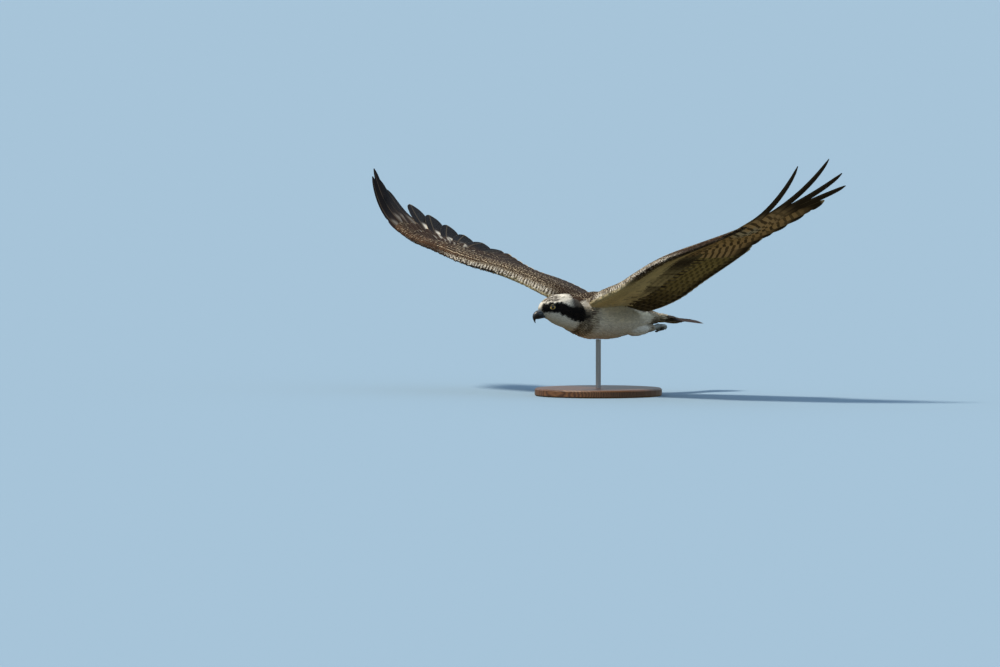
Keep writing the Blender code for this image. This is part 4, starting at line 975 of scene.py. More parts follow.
eyeFacing = {}
eyeCentre = {}
nearEye = np.ones(len(p))
for side in (1, -1):
    facing = unit(headRight * side * head["eyeFacing"][0] + headAhead * head["eyeFacing"][1])
    eyeFacing[side] = facing
    eyeCentre[side] = headPoint(side * head["eye"][0], head["eye"][1], head["eye"][2])
    d = p - eyeCentre[side]
    off = np.linalg.norm(d - np.outer(d @ facing, facing), axis=1) + 9 * (d @ facing < 0)
    nearEye = np.minimum(nearEye, off)
clearOfBill = ease(forward - mix(0.0335, 0.0395, ease(height, -0.004, 0.001)), 0.0, -0.0015)
wingShare = (p[:, 1] - through(wing["edgeY"], np.abs(p[:, 0]))) / through(wing["bodyDepth"], np.abs(p[:, 0]))

# densities that the scatters read, and the length of a feather at each place
faceShare = ease(forward, 0.004, 0.014) * onHead
wingFront = (ease(np.abs(p[:, 0]), 0.034, 0.052) * ease(wingShare, 0.40, 0.30) * ease(wingShare, -0.30, -0.15)
             * (np.abs(p[:, 0]) < 0.548) * ease(p[:, 2], 0.010, 0.018) * (1 - onHead))
onTorso = ((1 - ease(forward, -0.074, -0.062) * nearHead) * (1 - outOnWing) * ease(p[:, 1], 0.262, 0.250)
           * (p[:, 1] > -0.055))
clearOfLid = ease(nearEye, 0.0066, 0.0074)
densities = {
    "leftEdge": wingFront * (p[:, 0] > 0),
    "rightEdge": wingFront * (p[:, 0] < 0),
    "face": faceShare * clearOfLid * clearOfBill,
    "crown": onHead * (1 - faceShare) * clearOfLid,
    "neck": (ease(forward, -0.080, -0.066) * (1 - ease(forward, -0.040, -0.034)) * (1 - outOnWing)
             * (p[:, 1] < -0.02)),
    "back": onTorso * (normals[:, 2] >= 0.0),
    "belly": onTorso * (normals[:, 2] < 0.0),
}
face = ease(forward, -0.020, 0.032)
coatLength = mix(0.0105, 0.0038, face)
coatLength = mix(coatLength, 0.0135, ease(forward, -0.030, -0.060))
coatLength = mix(coatLength, 0.0190, ease(p[:, 1], -0.03, 0.04) * (1 - onHead))
coatLength = mix(coatLength, mix(0.0130, 0.0070, ease(p[:, 1], 0.16, 0.21)), onLeg)
coatLength = mix(coatLength, 0.0032, ease(nearEye, 0.013, 0.008) * onHead)
coatLength = mix(coatLength, mix(0.0062, 0.0120, ease(wingShare, 0.00, 0.25)), wingFront)
nape = onHead * ease(forward, -0.006, -0.028) * ease(height, 0.004, 0.018)
coatLength = coatLength * (1 + 0.5 * nape)


def speckle(points, scale, seed=0):
    # a few summed waves, near enough to noise for mottling
    value = np.zeros(len(points))
    turns = np.random.default_rng(seed)
    for _ in range(7):
        direction = unit(turns.normal(size=3))
        value += np.sin((points @ direction) * scale * turns.uniform(0.6, 1.5) + turns.uniform(0, 6.28))
    return value / 3.0


stripeEdges = {
    # forward of the head's centre, height
    "high": ((-0.0700, -0.016), (-0.0384, -0.006), (-0.0255, -0.003), (-0.006, 0.0065), (0.0122, 0.0118),
             (0.0260, 0.0110), (0.0380, 0.009)),
    "low": ((-0.0700, -0.036), (-0.0488, -0.0410), (-0.032, -0.0345), (-0.006, -0.0215), (0.007, -0.0130),
            (0.0239, -0.0095), (0.0356, -0.0090)),
}


def plumagePattern(points, facing, onWing, share):
    # colour and marks of the small feathers by where they grow
    s, a, h = headFrame(points)
    n = len(points)
    out, y, z = np.abs(points[:, 0]), points[:, 1], points[:, 2]
    tone = np.broadcast_to(toneOf["white"], (n, 3))
    fringe, streak = np.full(n, 0.05), np.full(n, 0.02)
    headShare = (ease(s, -0.074, -0.060) * ease(np.hypot(a, h), 0.080, 0.062))[:, None]
    # upperparts: dark, every feather fringed pale
    behind = ease(y, 0.06, 0.15)
    upperside = ease(facing[:, 2], 0.20, 0.50) * ease(z - mix(0.006, -0.014, behind), 0.0, 0.018)
    body = 1 - headShare[:, 0] * ease(s, -0.058, -0.046)
    dark = upperside * body
    tone = mix(tone, toneOf["dark"], dark[:, None])
    fringe = mix(fringe, 0.85, dark)
    # mottled band across the breast: dark spots over buff
    band = ease(y, -0.056, -0.040) * ease(y, 0.004, -0.014) * ease(facing[:, 2], 0.60, 0.30) * (1 - dark)
    spots = ease(speckle(points, 420, 3), -0.25, 0.55)
    tone = mix(tone, toneOf["buff"] * 0.75, (band * 0.7)[:, None])
    tone = mix(tone, toneOf["dark"] * 1.8, (band * 0.62 * spots)[:, None])
    streak = np.maximum(streak, band * 0.9)
    # painted shade: the flank under the wing is tinted towards the shaded under wing colour, as if in the
    # wing's shadow
    underWingShade = ease(z, -0.040, 0.012) * ease(y, -0.02, 0.02) * (1 - dark) * body
    tone = mix(tone, toneOf["shadedLining"] * 1.35, (underWingShade * 0.70)[:, None])
    # buff, spotted vent and flank behind
    vent = ease(y, 0.185, 0.210) * (1 - dark)
    tone = mix(tone, toneOf["buff"] * 0.55, (vent * 0.8)[:, None])
    tone = mix(tone, toneOf["dark"] * 1.3, (vent * 0.6 * ease(speckle(points, 500, 8), 0.0, 0.6))[:, None])
    streak = np.maximum(streak, vent * 0.75)
    # the back of the neck above the stripe is dark, and a pale patch follows at the shoulder
    collar = ease(y, -0.086, -0.064) * ease(y, -0.034, -0.042) * ease(z, -0.022, -0.012) * (1 - onWing)
    tone = mix(tone, toneOf["dark"], (collar * 0.92)[:, None])
    shoulder = np.exp(-(((y + 0.032) / 0.0065) ** 2 + ((z - 0.022) / 0.0075) ** 2))
    shoulder = shoulder * ease(out, 0.022, 0.030)
    streak = np.maximum(streak, shoulder)
    tone = mix(tone, toneOf["white"], np.clip(shoulder * 1.1, 0, 0.75)[:, None])
    # crown: dark brown streaked with white, paler at the forehead, with a white nape behind
    crown = headShare[:, 0] * ease(h, 0.0120, 0.0150)
    frontCrown = crown * ease(s, -0.008, 0.002)
    lengthwise = np.stack([a * 1.0, s * 0.30, h * 1.0], -1)
    streaks = ease(speckle(lengthwise, 2600, 5), -0.55, 0.15)
    crownDark = frontCrown * (0.08 + 0.92 * streaks) * mix(1.0, 0.70, ease(s, 0.022, 0.030))
    tone = mix(tone, toneOf["dark"], crownDark[:, None])
    # fine dark hairs over the white nape, closer together towards the back
    hairs = ease(speckle(lengthwise, 1500, 9) + ease(s, -0.016, -0.050), 0.10, 0.45)
    hairs = hairs * crown * ease(s, 0.002, -0.006)
    tone = mix(tone, toneOf["dark"] * 1.3, (hairs * mix(0.45, 1.0, ease(s, -0.012, -0.030)))[:, None])
    # the dark stripe through the eye and down the side of the neck
    high, low = through(stripeEdges["high"], s), through(stripeEdges["low"], s)
    ragged = 0.0020 * speckle(points, 800, 7)
    stripe = ease(h + ragged, high + 0.0012, high - 0.0012) * ease(h + ragged, low - 0.0016, low + 0.0016)
    # it ends sooner on the right, where the turned head folds the neck
    folded = ease(points[:, 0], -0.004, -0.016) * ease(y, -0.052, -0.040)
    stripe = stripe * ease(np.abs(a), 0.004, 0.009) * ease(s, -0.078, -0.066) * (1 - folded)
    tone = mix(tone, toneOf["black"] * 1.2, stripe[:, None])
    fringe = fringe * (1 - stripe)
    streak = np.maximum(streak, frontCrown * 0.5) * (1 - stripe)
    # the wing: dark above with white scallops in front on the arm, below a dark rim and then the pale lining
    wingTop = ease(facing[:, 2], -0.25, 0.10)
    arm = ease(out, 0.40, 0.33) * ease(out, 0.055, 0.085)
    rimmed = ease(share, mix(0.14, 0.09, arm), mix(0.09, 0.05, arm)) * ease(out, 0.16, 0.24)
    darkWing = np.maximum(wingTop, rimmed)
    # below, the pale coverts carry painted shade and a painted olive reflection of the ground
    below = mix(toneOf["shadedLining"] * 1.6, toneOf["hand"] * 1.6, ease(out, 0.24, 0.42)[:, None])
    tone = mix(tone, mix(below, toneOf["dark"] * 0.9, darkWing[:, None]), onWing[:, None])
    fringe = mix(fringe, darkWing * mix(0.30, 0.95, arm), onWing)
    # white tips in a comb along the very edge
    comb = ease(np.sin(out * 860 + 0.9 * speckle(points, 300, 4)), 0.0, 0.4)
    comb = comb * ease(share, 0.060, 0.015) * arm * onWing
    comb = comb * ease(facing[:, 2], -0.30, 0.00) * ease(facing[:, 2], 0.85, 0.60)
    tone = mix(tone, toneOf["white"], comb[:, None])
    streak = streak * (1 - onWing)
    return np.clip(tone, 0, 1), np.stack([fringe, np.zeros(n), streak, np.full(n, 0.5)], -1)


tone, marks = plumagePattern(p, normals, np.maximum(outOnWing, wingFront), wingShare)
# the unwrap follows the body: round it and along it, with the wings in strips of their own
turnAround = np.arctan2(p[:, 0], p[:, 2] + 0.008) / (2 * math.pi) + 0.5
bodyUv = np.stack([0.02 + 0.60 * turnAround, 0.02 + 0.96 * (p[:, 1] + 0.15) / 0.47], -1)
upperFace = normals[:, 2] > 0
strip = np.where(p[:, 0] > 0, 0.65, 0.82) + np.where(upperFace, 0, 0.085)
wingUv = np.stack([strip + 0.075 * np.clip((p[:, 1] + 0.10) / 0.16, 0, 1),
                   0.02 + 0.96 * np.clip(np.abs(p[:, 0]) / 0.58, 0, 1)], -1)
skinUv = np.where((outOnWing > 0.5)[:, None], wingUv, bodyUv)

for name, kind, values in (
    ("lie", "FLOAT_VECTOR", lie @ placeArray[:3, :3].T), ("coatLength", "FLOAT", coatLength),
    ("tone", "FLOAT_COLOR", np.c_[tone, np.ones(len(p))]), ("mark", "FLOAT_COLOR", marks),
    ("rootUv", "FLOAT_VECTOR", np.c_[skinUv, np.zeros(len(p))]),
    *((name + "Density", "FLOAT", value) for name, value in densities.items()),
):
    putAttribute(skinMesh, name, kind, "POINT", values)
putUv(skinMesh, "OFBake", skinUv)
skinMesh.transform(place)
skinMesh.update()

# down and skin, seen only in the slits between feathers
skinFinish, skinTree, skinShader = newMaterial("down over skin", plumage["white"], 0.85)
skinTone = addNode(skinTree, "ShaderNodeAttribute", {"attribute_name": "tone"})
skinFleck = addNode(skinTree, "ShaderNodeTexNoise", {}, {
    "Vector": addNode(skinTree, "ShaderNodeTexCoord").outputs["Object"], "Scale": 420.0, "Detail": 4.0})
skinShade = addNode(skinTree, "ShaderNodeMapRange", {}, {
    "Value": skinFleck.outputs["Fac"], "To Min": 0.55, "To Max": 0.95})
skinColour = addNode(skinTree, "ShaderNodeHueSaturation", {}, {
    "Color": skinTone.outputs["Color"], "Value": skinShade.outputs["Result"]})
skinTree.links.new(skinColour.outputs["Color"], skinShader.inputs["Base Color"])
skinMesh.materials.clear()
skinMesh.materials.append(skinFinish)
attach(birdSkin, "root")
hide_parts("head", "neck", "torso", "left_leg", "right_leg")


# small feathers scattered over the skin
blade = {
    "stations": (0.0, 0.30, 0.62, 0.88, 1.0), "halfWidth": (0.16, 0.42, 0.50, 0.34, 0.05),
    "rise": (0.0, 0.055, 0.060, 0.030, 0.0), "thick": (0.020, 0.035, 0.028, 0.018, 0.008),
}


def bladeObject():
    # a unit feather along +Y, with a rounded tip and a low roof along the shaft
    points, uv, rim = [], [], []
    for v, half, rise, thick in zip(*blade.values()):
        for x, z, u in ((half, 0, 1), (0, thick, 0), (-half, 0, -1), (0, -thick, 0)):
            points.append((x, v, rise + z - 0.18 * half * abs(u)))
            uv.append((u * 0.5 + 0.5, v))
            rim.append((max(abs(u), (v - 0.62) / 0.38), 0.010, 1.0))
    quads = []
    for i in range(len(blade["stations"]) - 1):
        for k in range(4):
            a, b = 4 * i + k, 4 * i + (k + 1) % 4
            quads.append((a, a + 4, b + 4, b))
    quads.append((0, 1, 2, 3))
    last = 4 * (len(blade["stations"]) - 1)
    quads.append((last + 3, last + 2, last + 1, last))
    made = meshFrom("oneFeather", points, quads, None, placed=True, sharp=70)
    putUv(made.data, "vane", np.array(uv))
    putAttribute(made.data, "size", "FLOAT_VECTOR", "POINT", np.array(rim))
    return made


def scatterTree():
    tree = bpy.data.node_groups.new("lay feathers", "GeometryNodeTree")
    sockets = {}
    for name, kind, value in (
        ("Geometry", "Geometry", None), ("Feather", "Object", None), ("Finish", "Material", None),
        ("Density Name", "String", ""), ("Spacing", "Float", 0.004), ("Most Per Area", "Float", 9e4),
        ("Width", "Float", 0.5), ("Tilt", "Float", 0.2), ("Stray", "Float", 0.15),
        ("Length", "Float", 1.0), ("Patch", "Float", 0.003), ("Seed", "Int", 1),
    ):
        socket = tree.interface.new_socket(name, in_out="INPUT", socket_type="NodeSocket" + kind)
        if value is not None:
            socket.default_value = value
        sockets[name] = socket.identifier
    tree.interface.new_socket("Geometry", in_out="OUTPUT", socket_type="NodeSocketGeometry")
    given = tree.nodes.new("NodeGroupInput").outputs
    result = tree.nodes.new("NodeGroupOutput")
    # what the skin holds at each place, a random number for each use, and then the products of both
    at = {name: given[name] for name in ("Stray", "Tilt", "Length", "Width")}
    for name, kind in (("lie", "FLOAT_VECTOR"), ("coatLength", "FLOAT"), ("tone", "FLOAT_COLOR"),
                       ("vane", "FLOAT_VECTOR"), ("rootUv", "FLOAT_VECTOR")):
        at[name] = addNode(tree, "GeometryNodeInputNamedAttribute", {"data_type": kind},
                           {"Name": name}).outputs["Attribute"]
    for use, low, high, seedShift in (("swing", -1.0, 1.0, 3.0), ("rise", 0.75, 1.3, 5.0),
                                      ("growth", 0.82, 1.15, 7.0), ("shading", 0.80, 1.12, 11.0)):
        seed = addNode(tree, "ShaderNodeMath", {"operation": "ADD"}, {0: given["Seed"], 1: seedShift})
        at[use] = addNode(tree, "FunctionNodeRandomValue", {"data_type": "FLOAT"},
                          {2: low, 3: high, "Seed": seed.outputs[0]}).outputs[1]
    for product, first, second in (("stray", "swing", "Stray"), ("tilt", "rise", "Tilt"),
                                   ("grown", "coatLength", "growth"), ("reach", "grown", "Length"),
                                   ("across", "reach", "Width")):
        at[product] = addNode(tree, "ShaderNodeMath", {"operation": "MULTIPLY"},
                              {0: at[first], 1: at[second]}).outputs[0]

    density = addNode(tree, "GeometryNodeInputNamedAttribute", {"data_type": "FLOAT"}, {
        "Name": given["Density Name"]})
    scatter = addNode(tree, "GeometryNodeDistributePointsOnFaces", {"distribute_method": "POISSON"}, {
        "Mesh": given["Geometry"], "Distance Min": given["Spacing"], "Density Max": given["Most Per Area"],
        "Density Factor": density.outputs["Attribute"], "Seed": given["Seed"]})
    facing = addNode(tree, "FunctionNodeAxesToRotation", {"primary_axis": "Z", "secondary_axis": "Y"}, {
        "Primary Axis": scatter.outputs["Normal"], "Secondary Axis": at["lie"]})
    angles = addNode(tree, "ShaderNodeCombineXYZ", {}, {"X": at["tilt"], "Z": at["stray"]})
    local = addNode(tree, "FunctionNodeEulerToRotation", {}, {"Euler": angles.outputs[0]})
    turned = addNode(tree, "FunctionNodeRotateRotation", {"rotation_space": "LOCAL"}, {
        "Rotation": facing.outputs[0], "Rotate By": local.outputs[0]})
    size = addNode(tree, "ShaderNodeCombineXYZ", {}, {"X": at["across"], "Y": at["reach"], "Z": at["reach"]})
    shade = addNode(tree, "ShaderNodeVectorMath", {"operation": "SCALE"}, {
        0: at["tone"], "Scale": at["shading"]})
    toned = addNode(tree, "GeometryNodeStoreNamedAttribute", {"data_type": "FLOAT_COLOR", "domain": "POINT"},
                    {"Geometry": scatter.outputs["Points"], "Name": "tone", "Value": shade.outputs[0]})
    feather = addNode(tree, "GeometryNodeObjectInfo", {}, {"Object": given["Feather"]})
    laid = addNode(tree, "GeometryNodeInstanceOnPoints", {}, {
        "Points": toned.outputs["Geometry"], "Instance": feather.outputs["Geometry"],
        "Rotation": turned.outputs[0], "Scale": size.outputs[0]})
    solid = addNode(tree, "GeometryNodeRealizeInstances", {}, {"Geometry": laid.outputs["Instances"]})
    # a patch of the skin's unwrap for each feather, at its root's place
    offset = addNode(tree, "ShaderNodeVectorMath", {"operation": "SUBTRACT"}, {
        0: at["vane"], 1: (0.5, 0.5, 0.0)})
    patch = addNode(tree, "ShaderNodeVectorMath", {"operation": "SCALE"}, {
        0: offset.outputs[0], "Scale": given["Patch"]})
    unwrapped = addNode(tree, "ShaderNodeVectorMath", {"operation": "ADD"}, {
        0: at["rootUv"], 1: patch.outputs[0]})
    stored = addNode(tree, "GeometryNodeStoreNamedAttribute", {"data_type": "FLOAT2", "domain": "CORNER"}, {
        "Geometry": solid.outputs["Geometry"], "Name": "OFBake", "Value": unwrapped.outputs[0]})
    finished = addNode(tree, "GeometryNodeSetMaterial", {}, {
        "Geometry": stored.outputs["Geometry"], "Material": given["Finish"]})
    tree.links.new(finished.outputs["Geometry"], result.inputs["Geometry"])
    return tree, sockets


feather = bladeObject()
layFeathers, laySockets = scatterTree()
# fine and close on the face, longer and broader towards the tail
coats = {
    "faceCoat": {"Spacing": 0.00062, "Most Per Area": 4e6, "Width": 0.36, "Tilt": 0.22},
    "crownCoat": {"Spacing": 0.00094, "Most Per Area": 2e6, "Width": 0.30, "Tilt": 0.20},
    "neckCoat": {"Spacing": 0.0013, "Most Per Area": 1e6, "Width": 0.34, "Tilt": 0.20},
    "leftEdgeCoat": {"Spacing": 0.0021, "Most Per Area": 7e5, "Width": 0.48, "Tilt": 0.07},
    "rightEdgeCoat": {"Spacing": 0.0021, "Most Per Area": 7e5, "Width": 0.48, "Tilt": 0.07},
    "backCoat": {"Spacing": 0.0025, "Most Per Area": 3e5, "Width": 0.52, "Tilt": 0.14},
    "bellyCoat": {"Spacing": 0.0024, "Most Per Area": 3e5, "Width": 0.34, "Tilt": 0.14},
}
facesPerFeather = 18
for number, (name, settings) in enumerate(coats.items()):
    holder = bpy.data.objects.new(name + "Holder", skinMesh)
    bpy.context.scene.collection.objects.link(holder)
    modifier = holder.modifiers.new("feathers", "NODES")
    modifier.node_group = layFeathers
    chosen = {"Density Name": name.replace("Coat", "Density"), "Feather": feather, "Finish": contourFeather,
              "Seed": 3 + number}
    for key, value in {**settings, **chosen}.items():
        modifier[laySockets[key]] = value
    graph = bpy.context.evaluated_depsgraph_get()
    coatMesh = bpy.data.meshes.new_from_object(holder.evaluated_get(graph))
    bpy.data.objects.remove(holder)
    for spare in ("rootUv", "lie", "coatLength", *(key + "Density" for key in densities)):
        if spare in coatMesh.attributes:
            coatMesh.attributes.remove(coatMesh.attributes[spare])
    coat = bpy.data.objects.new(name, coatMesh)
    bpy.context.scene.collection.objects.link(coat)
    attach(coat, "root")
    print(name, len(coatMesh.polygons) // facesPerFeather, "feathers")
bpy.data.objects.remove(feather)


# eyes and lids
eyePlan = {
    "segments": 48, "rings": 40, "lidHalf": (0.0064, 0.0056), "lidThick": 0.00075,
    # colours outwards from the pupil, by share of the gaze ramp
    "stops": ((0.0, "#060504"), (0.225, "#060504"), (0.245, "#b98a2c"), (0.34, "#ead27a"), (0.50, "#efe3a4"),
              (0.545, "#3a2a12"), (0.60, "#0d0a08")),
}
# a wet cornea: clear, smooth and with one sharp highlight over the streaked yellow iris
eyeSurface, eyeTree, eyeShader = newMaterial("glass eye, wet cornea over a yellow iris", "#e2b23c", 0.04,
                                             Coat_Weight=1.0, Coat_Roughness=0.02)
eyeAngle = addNode(eyeTree, "ShaderNodeAttribute", {"attribute_name": "gaze"})
eyeRamp = addNode(eyeTree, "ShaderNodeValToRGB", {}, {"Fac": eyeAngle.outputs["Fac"]})
ramp = eyeRamp.color_ramp
while len(ramp.elements) < len(eyePlan["stops"]):
    ramp.elements.new(0.5)
for element, (where, colour) in zip(ramp.elements, eyePlan["stops"]):
    element.position = where
    element.color = (*linear(colour), 1)
irisRays = addNode(eyeTree, "ShaderNodeTexNoise", {}, {
    "Vector": addNode(eyeTree, "ShaderNodeTexCoord").outputs["Object"], "Scale": 900.0, "Detail": 3.0})
irisShade = addNode(eyeTree, "ShaderNodeMapRange", {}, {
    "Value": irisRays.outputs["Fac"], "To Min": 0.75, "To Max": 1.2})
irisColour = addNode(eyeTree, "ShaderNodeHueSaturation", {}, {
    "Color": eyeRamp.outputs["Color"], "Value": irisShade.outputs["Result"]})
eyeTree.links.new(irisColour.outputs["Color"], eyeShader.inputs["Base Color"])

# bare skin, dark and only slightly shiny
lidSkin = newMaterial("bare lid skin", "#2c2a28", 0.55)[0]


def frameOf(facing):
    # level and rise across the direction an eye looks
    level = unit(np.cross(facing, headUp))
    return level, np.cross(level, facing)


def eyeball(side):
    facing = eyeFacing[side]
    level, rise = frameOf(facing)
    rings, gaze = [], []
    for angle in np.linspace(0.04, math.pi - 0.04, eyePlan["rings"]):
        turn = np.arange(eyePlan["segments"]) * (2 * math.pi / eyePlan["segments"])
        # the cornea swells a little over the iris
        radius = head["eyeRadius"] * (1 + 0.035 * float(ease(angle, 0.75, 0.25)))
        rings.append(eyeCentre[side] + radius * (math.cos(angle) * facing + math.sin(angle) * (
            np.outer(np.cos(turn), level) + np.outer(np.sin(turn), rise))))
        gaze += [angle / math.pi * 1.6] * eyePlan["segments"]
    points, quads = loftPoints(rings), loftFaces(len(rings), eyePlan["segments"])
    made = meshFrom(("left" if side > 0 else "right") + "Eyeball", points, quads, eyeSurface)
    putAttribute(made.data, "gaze", "FLOAT", "POINT", np.array(gaze + [0.0, 1.6]))
    return made


def lidRing(side):
    # an almond rim, its upper half thicker and standing out over the eye
    facing = eyeFacing[side]
    level, rise = frameOf(facing)
    count, sides = 64, 12
    turn = np.arange(count) * (2 * math.pi / count)
    wide, tall = eyePlan["lidHalf"]
    upper = ease(np.sin(turn), -0.1, 0.7)
    flat = np.stack([np.cos(turn) * wide * (1 + 0.05 * np.cos(2 * turn)),
                     np.sin(turn) * tall * (1 - 0.10 * upper)], -1)
    lateral = np.linalg.norm(flat, axis=1)
    out = np.sqrt(head["eyeRadius"] ** 2 - lateral**2) + 0.0003 + 0.0007 * upper
    middle = (eyeCentre[side] + np.outer(flat[:, 0], level) + np.outer(flat[:, 1], rise)
              + np.outer(out, facing))
    spoke = unit(middle - middle.mean(0))
    thick = eyePlan["lidThick"] * (1 + 0.6 * upper)
    around = np.arange(sides) * (2 * math.pi / sides)
    points = (middle[:, None] + thick[:, None, None] * (np.cos(around)[None, :, None] * spoke[:, None] * 1.2
                                                       + np.sin(around)[None, :, None] * facing * 0.8))
    i = np.arange(count)[:, None]
    k = np.arange(sides)[None, :]
    quads = np.stack([i * sides + k, (i + 1) % count * sides + k, (i + 1) % count * sides + (k + 1) % sides,
                      i * sides + (k + 1) % sides], -1).reshape(-1, 4)
    return points.reshape(-1, 3), quads


def outward(part):
    # turns a closed part's faces outwards by the sign of its volume
    points, quads = part
    a, b, c, d = (points[quads[:, k]] for k in range(4))
    volume = (a * np.cross(b, c)).sum() + (a * np.cross(c, d)).sum()
    return points, quads if volume > 0 else quads[:, [1, 0, 3, 2]]


for side in (1, -1):
    eye = eyeball(side)
    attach(eye, "root")
    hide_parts("left_eye" if side > 0 else "right_eye")
lids = joined("lids", [outward(lidRing(side)) for side in (1, -1)], lidSkin)
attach(lids, "root")
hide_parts("head")


# bill
billShape = {
    # forward of the head's centre, height, half width, half depth, lean in degrees
    "upper": ((0.0331, -0.0085, 0.0086, 0.0090, 27), (0.0415, -0.0102, 0.0078, 0.0088, 31),
              (0.0485, -0.0134, 0.0061, 0.0071, 43), (0.0522, -0.0172, 0.0043, 0.0049, 56),
              (0.0531, -0.0218, 0.0028, 0.0031, 66), (0.0527, -0.0262, 0.0015, 0.0016, 76)),
    "tip": (0.0512, -0.0308),
    "lower": ((0.0277, -0.0186, 0.0082, 0.0030, 27), (0.0360, -0.0192, 0.0068, 0.0026, 10),
              (0.0430, -0.0200, 0.0048, 0.0020, 0), (0.0472, -0.0206, 0.0026, 0.0012, 0)),
    "nostril": (0.0392, -0.0072, 0.0021, 0.0010),
    "cereEnd": 0.0425,
}
# worn horn: near black with a soft sheen, while the cere at its base is duller and blue-grey
hornBill, billTree, billShader = newMaterial("polished black horn", "#17181b", 0.34, Coat_Weight=0.10,
                                             IOR=1.54)
cereMask = addNode(billTree, "ShaderNodeAttribute", {"attribute_name": "cere"})
hornGrain = addNode(billTree, "ShaderNodeTexNoise", {}, {
    "Vector": addNode(billTree, "ShaderNodeTexCoord").outputs["Object"], "Scale": 350.0, "Detail": 5.0})
hornTone = addNode(billTree, "ShaderNodeMix", {"data_type": "RGBA"}, {
    0: hornGrain.outputs["Fac"], 6: (*linear("#101114"), 1), 7: (*linear("#2b2c30"), 1)})
cereTone = addNode(billTree, "ShaderNodeMix", {"data_type": "RGBA"}, {
    0: cereMask.outputs["Fac"], 6: hornTone.outputs[2], 7: (*linear("#38424b"), 1)})     # soft blue-grey cere
billTree.links.new(cereTone.outputs[2], billShader.inputs["Base Color"])
cereGloss = addNode(billTree, "ShaderNodeMapRange", {}, {
    "Value": cereMask.outputs["Fac"], "To Min": 0.34, "To Max": 0.55})
billTree.links.new(cereGloss.outputs["Result"], billShader.inputs["Roughness"])


def billPart(table, tip, stations, sides):
    rings = []
    for ahead, high, half, deep, turned in evenly(table, np.linspace(0, len(table) - 1, stations)):
        turned = math.radians(turned)
        up = headUp * math.cos(turned) + headAhead * math.sin(turned)
        rings.append(ovalRing(headPoint(0, ahead, high), headRight, up, half, deep, deep, sides, 0.9))
    rings = np.array(rings)
    if tip:
        last = rings[-1]
        end = headPoint(0, *tip)
        for share in (0.35, 0.65, 0.88):
            middle = mix(last.mean(0), end, share)
            rings = np.vstack([rings, (middle + (last - last.mean(0)) * math.sqrt(1 - share))[None]])
    points = loftPoints(rings)
    if tip:
        points[-1] = headPoint(0, *tip)
    return points, loftFaces(len(rings), sides)


upperPoints, upperQuads = billPart(billShape["upper"], billShape["tip"], 40, 48)
s, a, h = headFrame(upperPoints)
# the nostril is a slit pressed into each side of the cere
nostrilAt, nostrilHigh, nostrilLong, nostrilTall = billShape["nostril"]
slitLength = (s - nostrilAt) / nostrilLong
slitHeight = (h - nostrilHigh - 0.35 * (s - nostrilAt)) / nostrilTall
press = np.exp(-(slitLength**2 + slitHeight**2) ** 1.5) * (np.abs(a) > 0.003)
# the cere is a little swollen
cere = ease(s, billShape["cereEnd"] + 0.0012, billShape["cereEnd"] - 0.0012) * ease(h, -0.0165, -0.0150)
middle = headPoint(0, s, h)
sideways = upperPoints - middle
upperPoints = middle + sideways * (1 + 0.045 * cere - 0.42 * press)[:, None]
upperBill = meshFrom("upperBill", upperPoints, upperQuads, hornBill)
putAttribute(upperBill.data, "cere", "FLOAT", "POINT", np.clip(cere * (1 - 1.6 * press), 0, 1))
lowerPoints, lowerQuads = billPart(billShape["lower"], None, 20, 36)
s, a, h = headFrame(lowerPoints)
lowerBill = meshFrom("lowerBill", lowerPoints, lowerQuads, hornBill)
putAttribute(lowerBill.data, "cere", "FLOAT", "POINT", ease(s, 0.0345, 0.0320) * 0.8)
for made, node in ((upperBill, "bill_upper"), (lowerBill, "bill_lower")):
    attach(made, "root")
    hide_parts(node)

# the gape: a low fold of bare skin from the corner of the bill back under the eye
gapeSkin = newMaterial("bare gape skin", "#343a3f", 0.5)[0]
gapes = []
for side in (1, -1):
    t = np.linspace(0, 1, 16)
    ahead, high = mix(0.0360, 0.0255, t), mix(-0.0162, -0.0142, t**1.3)
    half, top, bottom, lean = shapeAt(headShape, ahead)
    half, bottom = half - skinPlan["faceDepth"], bottom - skinPlan["faceDepth"]
    out = half * np.sqrt(np.clip(1 - (high / bottom) ** 2, 0.05, 1))
    line = headPoint(side * out, ahead, high)
    rings = tubeRings(line, 0.0008 * (1 - 0.8 * t) + 0.0001, 10)
    gapes.append(outward((loftPoints(rings), loftFaces(len(rings), 10))))
gape = joined("gape", gapes, gapeSkin)
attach(gape, "root")
print("eyes and bill")


# feet
footPlan = {
    "line": ((0.0232, 0.208, -0.0392), (0.021, 0.226, -0.0375), (0.0200, 0.240, -0.0350),
             (0.019, 0.252, -0.0325)),
    "radii": (0.0062, 0.0062, 0.0064, 0.0068),
    "toeRadii": (0.0048, 0.0044, 0.0036, 0.0040, 0.0030),
    "claw": ((0.0020, 0.0010), (-0.0040, -0.0022), (-0.0085, -0.0020), (-0.0130, 0.0020)),   # back, up
    "clawRadii": (0.0025, 0.0021, 0.0013, 0.0002),
}
# dry scales part in dark grooves, so that the grey is broken and never shines
scaleSkin, scaleTree, scaleShader = newMaterial("scaly grey foot skin", "#8d9494", 0.55)
